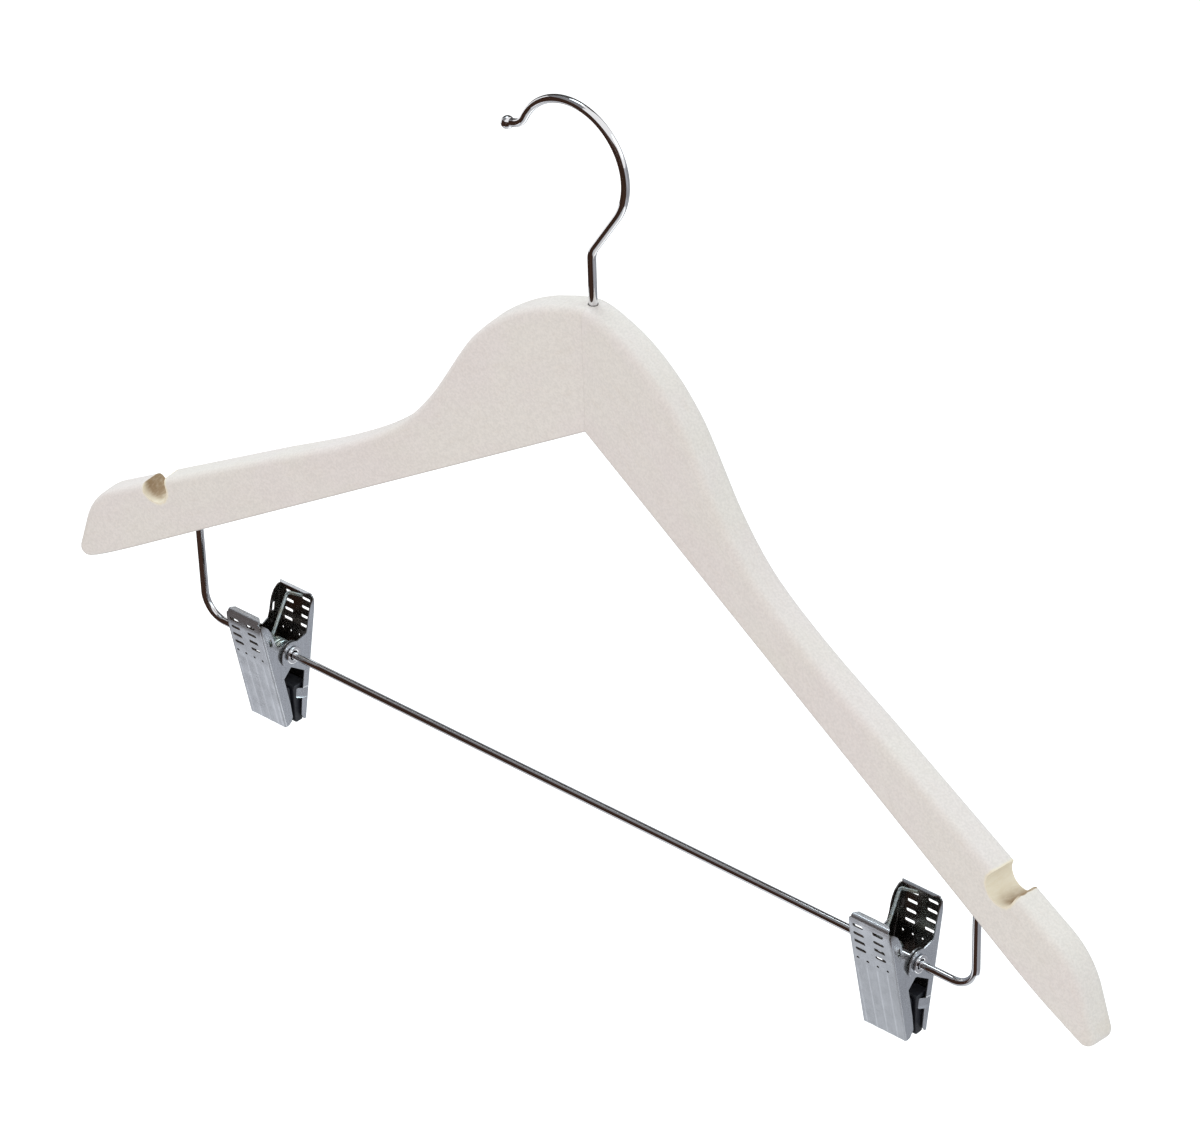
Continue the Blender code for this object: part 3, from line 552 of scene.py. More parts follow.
def bright_chrome(name, base):
    """Bright plate: a faint haze, hairline scratches and drawing marks."""
    finish = Finish(bpy.data.materials.new(name))
    point = finish.place()
    haze = finish.noise(point, 90.0, 4.0, 0.6)
    fine = finish.noise(point, 1800.0, 2.0, 0.5)
    lines = finish.noise(point, 2600.0, 2.0, 0.5, (0.08, 1.0, 0.25))
    scratch = finish.ease(lines, 0.62, 0.74)
    shade = finish.scaled(tuple(base), finish.ease(haze, 0.35, 0.7, 1.0, 0.93))
    rough = finish.ease(haze, 0.3, 0.75, 0.055, 0.13) + scratch * 0.06
    relief = fine * 0.5 + lines * 0.5
    normal = finish.bump(relief, distance=0.004 * MM, strength=0.25)
    return finish.surface(shade, rough, normal, metallic=1.0)


def stamped_steel(name, base, inner):
    """Satin plate on sheet: rolling lines, a painted highlight on the flutes' ridges,
    painted shade on the inner side and in the holes.
    """
    finish = Finish(bpy.data.materials.new(name))
    point = finish.place()
    inside, ridge = finish.marked("inside"), finish.marked("ridge")
    wall = finish.marked("hole_wall")
    rolled = finish.noise(point, 1100.0, 3.0, 0.6, (1.0, 1.0, 0.05))
    bloom = finish.noise(point, 170.0, 4.0, 0.6)
    rubs = finish.noise(point, 900.0, 3.0, 0.65, (0.2, 1.0, 1.0))
    pits = finish.noise(point, 3200.0, 1.0, 0.5)
    rub_mask = finish.ease(rubs, 0.58, 0.72)
    # Random bloom and rubs vary the tone, and the flutes' ridges are lightened: a
    # painted highlight
    tone = finish.ease(bloom, 0.32, 0.72, 1.04, 0.93) - rub_mask * 0.04
    tone = tone * finish.ease(rolled, 0.3, 0.7, 0.96, 1.03) + ridge * 0.3
    # The inner side takes a dark colour: painted shade between the jaws
    shade = finish.blend(inside, finish.scaled(tuple(base), tone), tuple(inner))
    # The walls of the slots and small holes are painted near black: painted shade
    # inside them
    shade = finish.blend(wall, shade, HOLE_SHADE)
    rough = finish.ease(bloom, 0.3, 0.7, 0.18, 0.27) + rub_mask * 0.06 + wall * 0.25
    metal = finish.ease(inside, 0.0, 1.0, 0.88, 1.0) - wall * 0.5
    relief = rolled * 0.6 + pits * 0.3
    normal = finish.bump(relief, distance=0.01 * MM, strength=0.3)
    return finish.surface(shade, rough, normal, metallic=metal)


def zinc_wire(name, base):
    """Bluish zinc plate with a slight rainbow tint and drawing lines."""
    finish = Finish(bpy.data.materials.new(name))
    point = finish.place()
    tint = finish.noise(point, 420.0, 3.0, 0.6)
    lines = finish.noise(point, 3000.0, 2.0, 0.5, (0.3, 1.0, 1.0))
    shade = finish.blend(finish.ease(tint, 0.36, 0.66), tuple(base), ZINC_TINT)
    rough = finish.ease(tint, 0.3, 0.7, 0.16, 0.28)
    normal = finish.bump(lines, distance=0.006 * MM, strength=0.3)
    return finish.surface(shade, rough, normal, metallic=0.8)


def turned_steel(name):
    """Plain steel with tool marks round the bush."""
    finish = Finish(bpy.data.materials.new(name))
    point = finish.place()
    rings = finish.noise(point, 3500.0, 2.0, 0.5, (0.05, 0.05, 1.0))
    stain = finish.noise(point, 350.0, 3.0, 0.6)
    shade = finish.blend(finish.ease(stain, 0.4, 0.7), BUSH_STEEL, BUSH_STAIN)
    rough = finish.ease(rings, 0.3, 0.7, 0.3, 0.45)
    normal = finish.bump(rings, distance=0.01 * MM, strength=0.5)
    return finish.surface(shade, rough, normal, metallic=1.0)


def black_rubber(name, base):
    """Near-black rubber with a fine moulded grain, pale dust and scuffed spots."""
    finish = Finish(bpy.data.materials.new(name))
    point = finish.place()
    grain = finish.noise(point, 1500.0, 3.0, 0.6)
    dust = finish.ease(finish.noise(point, 260.0, 4.0, 0.65), 0.52, 0.8)
    shade = finish.blend(dust * 0.5, tuple(base), RUBBER_DUST)
    rough = finish.ease(grain, 0.3, 0.7, 0.42, 0.56) + dust * 0.12
    normal = finish.bump(grain, distance=0.03 * MM, strength=0.4)
    return finish.surface(shade, rough, normal)


def settings():
    """The scene's settings, by group."""
    scene = bpy.context.scene
    return scene.hanger_arm, scene.hanger_wire, scene.hanger_clip, scene.hanger_stage


def pieces():
    """The collection that holds the finished pieces."""
    found = bpy.data.collections.get("hanger_pieces")
    if found is None:
        found = bpy.data.collections.new("hanger_pieces")
        bpy.context.scene.collection.children.link(found)
    return found


def heights():
    """Heights of the wood's top, the underside's peak and the bar, from the rail."""
    arm, wire, _, _ = settings()
    sine, cosine = math.sin(wire.neck_turn), math.cos(wire.neck_turn)
    centre_x = wire.neck_round * (1 - cosine) + wire.neck_run * sine
    centre_x -= wire.loop_round * cosine
    centre_z = wire.stem + wire.neck_round * sine + wire.neck_run * cosine
    centre_z += wire.loop_round * sine
    inside = wire.loop_round - wire.hook_wire / 2
    top = -(centre_z + math.sqrt(inside**2 - centre_x**2))
    peak = top - arm.depth_at_hook - arm.hump_rise
    return {"top": top, "peak": peak, "bar": peak - wire.bar_drop}


def clamped(share):
    return min(max(share, 0.0), 1.0)


def verts_in(geometry):
    return [item for item in geometry if isinstance(item, bmesh.types.BMVert)]


def edges_in(geometry):
    return [item for item in geometry if isinstance(item, bmesh.types.BMEdge)]


def ends_of(edges):
    """The vertices of some edges, each once."""
    return list({vert for edge in edges for vert in edge.verts})


def swept(shape, geometry, centre, axis, turn, steps, slide=(0, 0, 0), closed=False):
    """Sweeps geometry round an axis, and returns the edges that it ends in."""
    made = bmesh.ops.spin(
        shape,
        geom=geometry,
        cent=centre,
        axis=axis,
        dvec=slide,
        angle=turn,
        steps=steps,
        use_merge=closed,
        use_duplicate=False,
    )
    return edges_in(made["geom_last"])


def drawn_out(shape, edges, way):
    """Draws edges out along a vector, and returns the new vertices and edges."""
    grown = bmesh.ops.extrude_edge_only(shape, edges=edges)["geom"]
    verts = verts_in(grown)
    bmesh.ops.translate(shape, verts=verts, vec=way)
    return verts, edges_in(grown)


def mesh_of(shape, name):
    """Turns a bmesh into a mesh and frees it."""
    mesh = bpy.data.meshes.new(name)
    shape.to_mesh(mesh)
    shape.free()
    return mesh


def placed(name, data, collection=None):
    """Puts a mesh, lamp or camera in a collection, or in the scene's own."""
    made = bpy.data.objects.new(name, data)
    (collection or bpy.context.scene.collection).objects.link(made)
    return made


def carved(mesh, cutters, wall=None):
    """The mesh, once it has its wall and the cutters are taken from it."""
    work, tools = (bpy.data.collections.new(name) for name in ("work", "tools"))
    for group in (work, tools):
        bpy.context.scene.collection.children.link(group)
    made = placed("work", mesh, work)
    for cutter in cutters:
        placed("tool", cutter, tools)
    if wall is not None:
        solid = made.modifiers.new("wall", "SOLIDIFY")
        solid.thickness = wall
        solid.offset = -1.0
    cut = made.modifiers.new("cut", "BOOLEAN")
    cut.operation = "DIFFERENCE"
    cut.operand_type = "COLLECTION"
    cut.collection = tools
    cut.solver = "EXACT"
    bpy.context.view_layer.update()
    graph = bpy.context.evaluated_depsgraph_get()
    result = bpy.data.meshes.new_from_object(made.evaluated_get(graph))
    for group in (work, tools):
        for old in list(group.objects):
            bpy.data.objects.remove(old)
        bpy.data.collections.remove(group)
    if len(result.polygons) == 0:
        raise RuntimeError(f"{mesh.name}: nothing is left after the cut")
    return result


def show(name, mesh, material, body, node, crease=35.0, weighted=True):
    """Links a finished piece, which rides on a body and stands for a node."""
    mesh.materials.clear()
    mesh.materials.append(material)
    mesh.shade_smooth()
    mesh.set_sharp_from_angle(angle=math.radians(crease))
    piece = placed(name, mesh, pieces())
    if weighted:
        even = piece.modifiers.new("even shading", "WEIGHTED_NORMAL")
        even.keep_sharp = True
        even.weight = 60
    if body is not None:
        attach(piece, body)
    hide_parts(node)
    return piece


def prism(outline, low, high, matrix):
    """A flat outline of X and Y, drawn up from one Z to another, then placed."""
    shape = bmesh.new()
    face = shape.faces.new([shape.verts.new((x, y, low)) for x, y in outline])
    grown = bmesh.ops.extrude_face_region(shape, geom=[face])
    raised = verts_in(grown["geom"])
    bmesh.ops.translate(shape, verts=raised, vec=(0.0, 0.0, high - low))
    bmesh.ops.transform(shape, matrix=matrix, verts=shape.verts)
    bmesh.ops.recalc_face_normals(shape, faces=shape.faces)
    return shape


def drill(radius, depth, matrix, sides=64):
    """A round cutter about the origin of the matrix, along its Z."""
    shape = bmesh.new()
    bmesh.ops.create_cone(
        shape,
        cap_ends=True,
        segments=sides,
        radius1=radius,
        radius2=radius,
        depth=depth,
        matrix=matrix,
    )
    return mesh_of(shape, "drill")


def arc(centre, radius, start, turn, steps):
    """Points of an arc, both ends included."""
    angles = [start + turn * step / steps for step in range(steps + 1)]
    return [
        (centre[0] + radius * math.cos(angle), centre[1] + radius * math.sin(angle))
        for angle in angles
    ]


def fillet(before, corner, after, radius, steps):
    """The corner of an outline rounded to this radius."""
    corner, before, after = Vector(corner), Vector(before), Vector(after)
    to_before = (before - corner).normalized()
    to_after = (after - corner).normalized()
    half = to_before.angle(to_after) / 2
    centre = corner + (to_before + to_after).normalized() * (radius / math.sin(half))
    first = corner + to_before * (radius / math.tan(half)) - centre
    last = corner + to_after * (radius / math.tan(half)) - centre
    start = math.atan2(first.y, first.x)
    turn = math.atan2(first.cross(last), first.dot(last))
    return arc(centre, radius, start, turn, steps)


def curve_through(points, steps):
    """A smooth curve through the points, the same on both sides of the first one."""
    found = []
    for index in range(len(points) - 1):
        a, b, c, d = (
            Vector(points[min(max(index + offset, 0), len(points) - 1)])
            for offset in (-1, 0, 1, 2)
        )
        if index == 0:
            a = Vector((-c.x, c.y))
        linear, square, cube = c - a, 2 * a - 5 * b + 4 * c - d, 3 * b - a - 3 * c + d
        for step in range(steps):
            t = step / steps
            point = 0.5 * (2 * b + linear * t + square * t**2 + cube * t**3)
            found.append(tuple(point))
    return found + [points[-1]]


def underside(arm, reach):
    """Height of the underside, counted from its peak."""
    return -math.tan(arm.slope) * reach


def top_edge(arm, reach):
    """Height of the straight top edge."""
    share = reach / arm.tip_reach
    depth = arm.depth_at_hook + (arm.depth_at_tip - arm.depth_at_hook) * share
    return underside(arm, reach) + depth


def arm_outline(arm):
    """One arm from a little past the middle out: reach and height."""
    known = []
    for across, rise in HUMP_SHARES:
        reach = across * arm.hump_reach
        known.append((reach, top_edge(arm, reach) + rise * arm.hump_rise))
    hump = curve_through(known, 5)
    past = -arm.thickness
    heel = (arm.tip_reach, underside(arm, arm.tip_reach))
    slope = (top_edge(arm, 0.0) - top_edge(arm, arm.tip_reach)) / arm.tip_reach
    lean = math.tan(arm.end_lean)
    up_end = (top_edge(arm, arm.tip_reach) - heel[1]) / (1 - lean * slope)
    brow = (arm.tip_reach - lean * up_end, heel[1] + up_end)
    nose = fillet(hump[-1], brow, heel, arm.nose_round, 18)
    foot = fillet(brow, heel, (0.0, 0.0), arm.heel_round, 12)
    return [(past, 0.0), (past, hump[0][1])] + hump + nose + foot + [(0.0, 0.0)]


def rounded_edges(shape, arm, side):
    """The board's front and back edges, but for its underside and its middle."""
    found = []
    for edge in shape.edges:
        first, last = (vert.co for vert in edge.verts)
        if abs(first.y - last.y) > WELD:
            continue
        under = all(
            abs(point.z - min(0.0, underside(arm, side * point.x))) < WELD
            for point in (first, last)
        )
        at_middle = all(side * point.x < -WELD for point in (first, last))
        if not under and not at_middle:
            found.append(edge)
    return found


def bar_line(arm, wire):
    """How far forward the bar runs, and the underside's height at its legs."""
    reach = wire.bar_half_width / math.cos(arm.sweep)
    forward = -wire.bar_half_width * math.tan(arm.sweep)
    return forward, heights()["peak"] + underside(arm, reach)


def arm_drills(arm, wire, side, own):
    """Cutters of the notch, the bar's hole, the bush's pocket and the shank's hole."""
    top = heights()["top"]
    notch_height = top_edge(arm, arm.notch_reach) - arm.notch_sink
    notch = Matrix.Translation((side * arm.notch_reach, 0.0, notch_height)) @ ALONG_Y
    forward, under = bar_line(arm, wire)
    hole_length = wire.bar_grip + wire.gap + OVERRUN
    hole = (side * wire.bar_half_width, forward, under - OVERRUN + hole_length / 2)
    pocket_length = wire.bush_length + 2 * wire.gap + wire.head_height + BUSH_SLACK
    pocket = (0.0, 0.0, top - wire.bush_depth - pocket_length / 2)
    shank_length = wire.bush_depth + 2 * OVERRUN
    shank = (0.0, 0.0, top + OVERRUN - shank_length / 2)
    upright = (
        (wire.bar_wire / 2 + wire.gap, hole_length, hole, 32),
        (wire.bush_radius + wire.gap, pocket_length, pocket, 32),
        (wire.shank_hole / 2, shank_length, shank, 48),
    )
    return [drill(arm.notch_radius, arm.thickness + 2 * OVERRUN, own @ notch, 96)] + [
        drill(radius, depth, Matrix.Translation(place), sides)
        for radius, depth, place, sides in upright
    ]


def arm_mesh(arm, wire, side):
    """One arm: sawn, its top edges rounded, cut off at the mitre, and drilled."""
    half = arm.thickness / 2
    handed = FROM_FRONT @ Matrix.Diagonal((side, 1, 1, 1))
    shape = prism(arm_outline(arm), -half, half, handed)
    bmesh.ops.bevel(
        shape,
        geom=rounded_edges(shape, arm, side),
        offset=arm.edge_round,
        segments=8,
        clamp_overlap=False,
        **BEVEL,
    )
    own = Matrix.Translation((0.0, 0.0, heights()["peak"])) @ (
        Matrix.Rotation(-side * arm.sweep, 4, "Z")
    )
    bmesh.ops.transform(shape, matrix=own, verts=shape.verts)
    cut = bmesh.ops.bisect_plane(
        shape,
        geom=shape.verts[:] + shape.edges[:] + shape.faces[:],
        dist=WELD,
        plane_co=(side * arm.mitre_gap / 2, 0.0, 0.0),
        plane_no=(-side, 0.0, 0.0),
        clear_outer=True,
    )
    rim = [edge for edge in edges_in(cut["geom_cut"]) if edge.is_boundary]
    bmesh.ops.holes_fill(shape, edges=rim, sides=0)
    bmesh.ops.recalc_face_normals(shape, faces=shape.faces)
    return carved(mesh_of(shape, "arm"), arm_drills(arm, wire, side, own))


class Drawn:
    """A wire drawn from a ring that is pushed on, bent round and swollen."""

    def __init__(self, start, heading, radius, sides=28):
        self.shape = bmesh.new()
        self.radius = radius
        turn = Vector(heading).to_track_quat("Z", "Y").to_matrix().to_4x4()
        self.frame = Matrix.Translation(start) @ turn
        made = bmesh.ops.create_circle(
            self.shape, cap_ends=True, radius=radius, segments=sides, matrix=self.frame
        )
        self.ring = list({edge for vert in made["verts"] for edge in vert.link_edges})

    @property
    def here(self):
        return self.frame.translation

    @property
    def heading(self):
        return self.frame.col[2].to_3d()

    def push(self, ahead, radius=None):
        """Draws the ring on, and swells or narrows it to a new radius."""
        verts, self.ring = drawn_out(self.shape, self.ring, self.heading * ahead)
        self.frame = Matrix.Translation(self.heading * ahead) @ self.frame
        if radius is not None:
            grow = radius / self.radius
            space = Matrix.Translation(-self.here)
            bmesh.ops.scale(self.shape, vec=(grow,) * 3, space=space, verts=verts)
            self.radius = radius

    def swell(self, profile):
        """Draws the wire on by steps, each with its advance and its radius."""
        for ahead, radius in profile:
            self.push(ahead, radius)

    def bend(self, centre, axis, turn, step=BEND_STEP, slide=0.0):
        """Bends the wire round a centre, and slides it along the axis as it goes."""
        steps = max(2, math.ceil(abs(turn) / step))
        centre, axis = Vector(centre), Vector(axis)
        ring = ends_of(self.ring) + self.ring
        each = axis * (slide / steps)
        self.ring = swept(self.shape, ring, centre, axis, turn, steps, each)
        turned = Matrix.Translation(centre) @ Matrix.Rotation(turn, 4, axis)
        back = Matrix.Translation(-centre)
        self.frame = Matrix.Translation(axis * slide) @ turned @ back @ self.frame

    def curl(self, radius, turn):
        """Bends the wire in the plane of X and Z, to the right by a turn above 0."""
        axis = Vector((0.0, 1.0, 0.0))
        to_centre = axis.cross(self.heading) * math.copysign(1.0, turn)
        self.bend(self.here + to_centre * radius, axis, turn)

    def toward(self, direction, radius):
        """Bends the wire until it heads this way."""
        direction = Vector(direction).normalized()
        turn = self.heading.angle(direction)
        if turn > STRAIGHT:
            axis = self.heading.cross(direction).normalized()
            self.bend(self.here + axis.cross(self.heading) * radius, axis, turn)

    def follow(self, points, radius):
        """Draws the wire through these points, with each corner bent to the radius."""
        points = [Vector(point) for point in points]
        for corner, after in zip(points, points[1:]):
            way = (after - corner).normalized()
            setback = radius * math.tan(self.heading.angle(way) / 2)
            self.push((corner - self.here).length - setback)
            self.toward(way, radius)
        self.push((points[-1] - self.here).length)

    def close(self, name):
        """Caps the end, and hands over the mesh."""
        bmesh.ops.edgeloop_fill(self.shape, edges=self.ring)
        bmesh.ops.recalc_face_normals(self.shape, faces=self.shape.faces)
        return mesh_of(self.shape, name)


def hook_mesh(wire):
    """The hook, from its upset head in the wood round to the ball on its free end."""
    shank = wire.bush_depth + wire.bush_length + wire.head_height + 2 * wire.gap
    foot = (0.0, 0.0, heights()["top"] - shank)
    radius, head = wire.hook_wire / 2, wire.head / 2
    drawn = Drawn(foot, (0, 0, 1), head - HEAD_EDGE)
    drawn.swell(
        (
            (HEAD_EDGE, head),
            (wire.head_height - 2 * HEAD_EDGE, head),
            (HEAD_EDGE, head - HEAD_EDGE),
            (0.0, radius),
        )
    )
    drawn.push(shank - wire.head_height + wire.stem)
    drawn.curl(wire.neck_round, wire.neck_turn)
    drawn.push(wire.neck_run)
    drawn.curl(wire.loop_round, -wire.loop_turn)
    drawn.curl(wire.lip_round, wire.lip_turn)
    drawn.push(wire.lip_run - wire.ball * BALL_OVERLAP)
    ball, steps = wire.ball / 2, 16
    start = math.asin(radius / ball)
    bead, last = [], math.cos(start) * ball
    for step in range(1, steps + 1):
        around = start + (BALL_END - start) * step / steps
        ahead = -math.cos(around) * ball
        bead.append((ahead + last, math.sin(around) * ball))
        last = -ahead
    drawn.swell(bead)
    return drawn.close("hook")


def bar_mesh(arm, wire):
    """The trouser bar: down one leg, along and up the other."""
    forward, under = bar_line(arm, wire)
    half, end, level = wire.bar_half_width, under + wire.bar_grip, heights()["bar"]
    drawn = Drawn((-half, forward, end), (0, 0, -1), wire.bar_wire / 2)
    corners = ((-half, forward, level), (half, forward, level), (half, forward, end))
    drawn.follow(corners, wire.bar_bend)
    return drawn.close("bar")


def clips():
    """Each clip's hand, the place of its pivot, and its spring's step aside."""
    arm, wire, clip, _ = settings()
    forward, level = bar_line(arm, wire)[0], heights()["bar"]
    left = clip.left_from_leg - wire.bar_half_width
    right = wire.bar_half_width - clip.right_from_leg
    return (
        ("left", Vector((left, forward, level)), clip.left_aside),
        ("right", Vector((right, forward, level)), clip.right_aside),
    )


def jaw_sizes(clip, wire):
    """The jaw's length, its frame, and the pivot's place in it."""
    run = clip.top_spread - clip.foot_spread
    fall = clip.top_rise + clip.foot_drop
    tilt = math.atan2(run, fall)
    aside = -(clip.sheet + wire.gap) / 2
    space = Matrix.Translation((aside, -clip.top_spread, clip.top_rise)) @ (
        Matrix.Rotation(tilt, 4, "X")
    )
    pivot = space.inverted() @ Vector((aside, 0.0, 0.0))
    return {
        "length": math.hypot(run, fall),
        "tilt": tilt,
        "aside": aside,
        "space": space,
        "inward": pivot.y,
        "down": -pivot.z,
        "rivet": wire.bar_wire / 2 + clip.play + clip.rivet_wall,
    }


def flange_waste(clip, sizes, depth, with_tab):
    """What a side flange is trimmed of: everything past its inner edge."""
    long = sizes["length"]
    edge = [(-TRIM_START, -clip.flange_start), (0.0, -clip.flange_start)]
    edge += [(depth * deep, -long * down) for down, deep in FLANGE_TOP_SHARES]
    ear = (sizes["inward"], -sizes["down"])
    edge += arc(ear, clip.ear_radius, EAR_START, EAR_TURN, 48)
    foot = [(depth * deep, -long * down) for down, deep in FLANGE_FOOT_SHARES]
    edge.append(foot[0])
    if with_tab:
        top = -long + (clip.foot_drop - clip.pad_top) - clip.tab_length / 2
        low = top - clip.tab_length
        middle = depth + clip.tab_reach - TAB_ROUND
        edge.append((depth, top))
        edge += arc((middle, top - TAB_ROUND), TAB_ROUND, math.pi / 2, -math.pi / 2, 6)
        edge += arc((middle, low + TAB_ROUND), TAB_ROUND, 0.0, -math.pi / 2, 6)
        edge.append((depth, low))
    edge += foot[1:]
    edge += [(foot[-1][0], -long - OVERRUN), (TRIM_REACH, -long - OVERRUN)]
    edge += [(TRIM_REACH, OVERRUN), (-TRIM_START, OVERRUN)]
    return edge


def obround(length_of_slot, height, steps=10):
    """A slot's outline, about its middle."""
    reach = (length_of_slot - height) / 2
    return arc((reach, 0.0), height / 2, -math.pi / 2, math.pi, steps) + arc(
        (-reach, 0.0), height / 2, math.pi / 2, math.pi, steps
    )


def slot_places(clip):
    """Each slot's middle: across from the jaw's middle, and down from its top."""
    return [
        (column * clip.width, clip.slot_first + row * clip.slot_pitch)
        for column in SLOT_COLUMN_SHARES
        for row in range(clip.slot_rows)
    ]


def pressed_in(clip, sizes, point):
    """How deep the plate's outer face is pressed there, and how close a ridge is, for
    its painted highlight.
    """
    half = clip.width / 2 - clip.fold
    down = -point.z
    below = down - clip.dot_depth
    begun = clamped((below - FLUTES_BELOW_DOTS) / FLUTE_RUN_IN)
    begun = begun * begun * (3 - 2 * begun)
    fan = below / (sizes["length"] - clip.dot_depth)
    first = DOT_SHARES[0] * clip.width - FLUTE_BEFORE_DOT
    phase = (point.x - first - FLUTE_FAN * fan) / clip.flute_width
    share = phase - math.floor(phase)
    fade = clamped((half - abs(point.x)) / FLUTE_FADE)
    across = math.sin(math.pi * share) ** FLUTE_FULLNESS
    flute = clip.flute * begun * fade * across
    rolled = max(0.0, 1.0 - (down - clip.lip_fold) / clip.roll_reach)
    from_ridge = min(share, 1.0 - share) * clip.flute_width
    ridge = begun * fade * max(0.0, 1.0 - from_ridge / RIDGE_HIGHLIGHT)
    return flute + clip.top_roll * rolled * rolled, ridge


def under_skin(clip, sizes, point):
    """How deep a point lies under the jaw's outer face, folded on three sides."""

    def rounded(first, second, radius):
        if first > radius or second > radius:
            return min(first, second)
        return radius - math.hypot(radius - first, radius - second)

    back = point.y
    if abs(point.x) < clip.width / 2 - clip.fold:
        back -= pressed_in(clip, sizes, point)[0]
    side = rounded(back, clip.width / 2 - abs(point.x), clip.fold)
    return min(side, rounded(back, -point.z, clip.lip_fold))


def mark(mesh, name, measure, faces=False):
    """Stores a number at each vertex or face, for a material to read."""
    if faces:
        numbers = [measure(face.center) for face in mesh.polygons]
    else:
        numbers = [measure(vert.co) for vert in mesh.vertices]
    kept = mesh.attributes.new(name, "FLOAT", "FACE" if faces else "POINT")
    kept.data.foreach_set("value", numbers)


def rim_where(shape, test):
    """The sheet's open edges whose two ends both pass the test."""
    return [
        edge
        for edge in shape.edges
        if edge.is_boundary and all(test(vert.co) for vert in edge.verts)
    ]


def folded_back(shape, rim, hinge, axis, turn, reach):
    """Folds a sheet's rim through a right angle and draws it on by the reach."""
    last = swept(shape, ends_of(rim) + rim, hinge, axis, turn, 6)
    return drawn_out(shape, last, (0.0, reach, 0.0))[0]


def jaw_skin(clip, sizes):
    """The jaw's outer face: fluted plate, two folded flanges and the folded lip."""
    half = clip.width / 2 - clip.fold
    top, foot = -clip.lip_fold, -sizes["length"]
    columns, rows = 56, 76
    middle = Matrix.Translation((0.0, 0.0, (top + foot) / 2))
    shape = bmesh.new()
    bmesh.ops.create_grid(
        shape, x_segments=columns, y_segments=rows, size=0.5, matrix=middle @ ALONG_Y
    )
    bmesh.ops.scale(
        shape,
        vec=(2 * half, 1.0, top - foot),
        space=Matrix.Translation((0.0, 0.0, -(top + foot) / 2)),
        verts=shape.verts,
    )
    for vert in shape.verts:
        vert.co.y += pressed_in(clip, sizes, vert.co)[0]

    # The lip folds back from the plate's top, clear of its corners, and narrows
    column = 2 * half / columns
    corner = half - 1.5 * column + WELD
    rim = rim_where(shape, lambda co: abs(co.z - top) < WELD and abs(co.x) < corner)
    rolled_back = clip.top_roll + clip.lip_fold
    hinge, reach = (0.0, rolled_back, top), clip.lip_depth - rolled_back
    verts = folded_back(shape, rim, hinge, (1.0, 0.0, 0.0), -math.pi / 2, reach)
    narrowed = (half - clip.lip_inset + clip.fold) / half
    bmesh.ops.scale(shape, vec=(narrowed, 1.0, 1.0), verts=verts)

    # The flanges fold back from the plate's sides, below its topmost row
    below = top - (top - foot) / (2 * rows)
    for side in (-1, 1):
        rim = rim_where(
            shape, lambda co: abs(co.x - side * half) < WELD and co.z < below
        )
        hinge, turn = (side * half, clip.fold, 0.0), side * math.pi / 2
        folded_back(shape, rim, hinge, (0.0, 0.0, 1.0), turn, FLANGE_BLANK)
    bmesh.ops.recalc_face_normals(shape, faces=shape.faces)
    front = next(f for f in shape.faces if abs(f.calc_center_median().x) < half * 0.2)
    if front.normal.y > 0.0:
        bmesh.ops.reverse_faces(shape, faces=shape.faces)
    return mesh_of(shape, "jaw_skin")


def jaw_cutters(clip, wire, sizes):
    """What is cut from a jaw: its flanges' waste, and every slot and hole."""
    half, reach = clip.width / 2, clip.sheet + OVERRUN
    cutters = []
    for side, depth in ((-1, clip.narrow_flange), (1, clip.wide_flange)):
        outline = flange_waste(clip, sizes, depth, with_tab=side < 0)
        inside, outside = half - clip.fold - TRIM_OVER_FOLD, half + OVERRUN
        low, high = sorted((side * inside, side * outside))
        cutters.append(mesh_of(prism(outline, low, high, FROM_SIDE), "waste"))
    slot = obround(clip.slot_length, clip.slot_height)
    for across, down in slot_places(clip):
        at = Matrix.Translation((across, 0.0, -down)) @ FROM_FRONT
        cutters.append(mesh_of(prism(slot, -reach, reach, at), "slot"))
    for share in DOT_SHARES:
        at = Matrix.Translation((share * clip.width, 0.0, -clip.dot_depth)) @ ALONG_Y
        cutters.append(drill(clip.dot_radius, 2 * reach, at, 20))
    at = Matrix.Translation((0.0, sizes["inward"], -sizes["down"])) @ ALONG_X
    cutters.append(drill(sizes["rivet"] + wire.gap, clip.width + 2 * OVERRUN, at, 48))
    dent = [
        (DENT_SHARE * clip.wide_flange + y, x - clip.dent_depth)
        for x, y in obround(clip.dent_width + clip.dent_length, clip.dent_width)
    ]
    cutters.append(mesh_of(prism(dent, half - reach, half + reach, FROM_SIDE), "dent"))
    return cutters


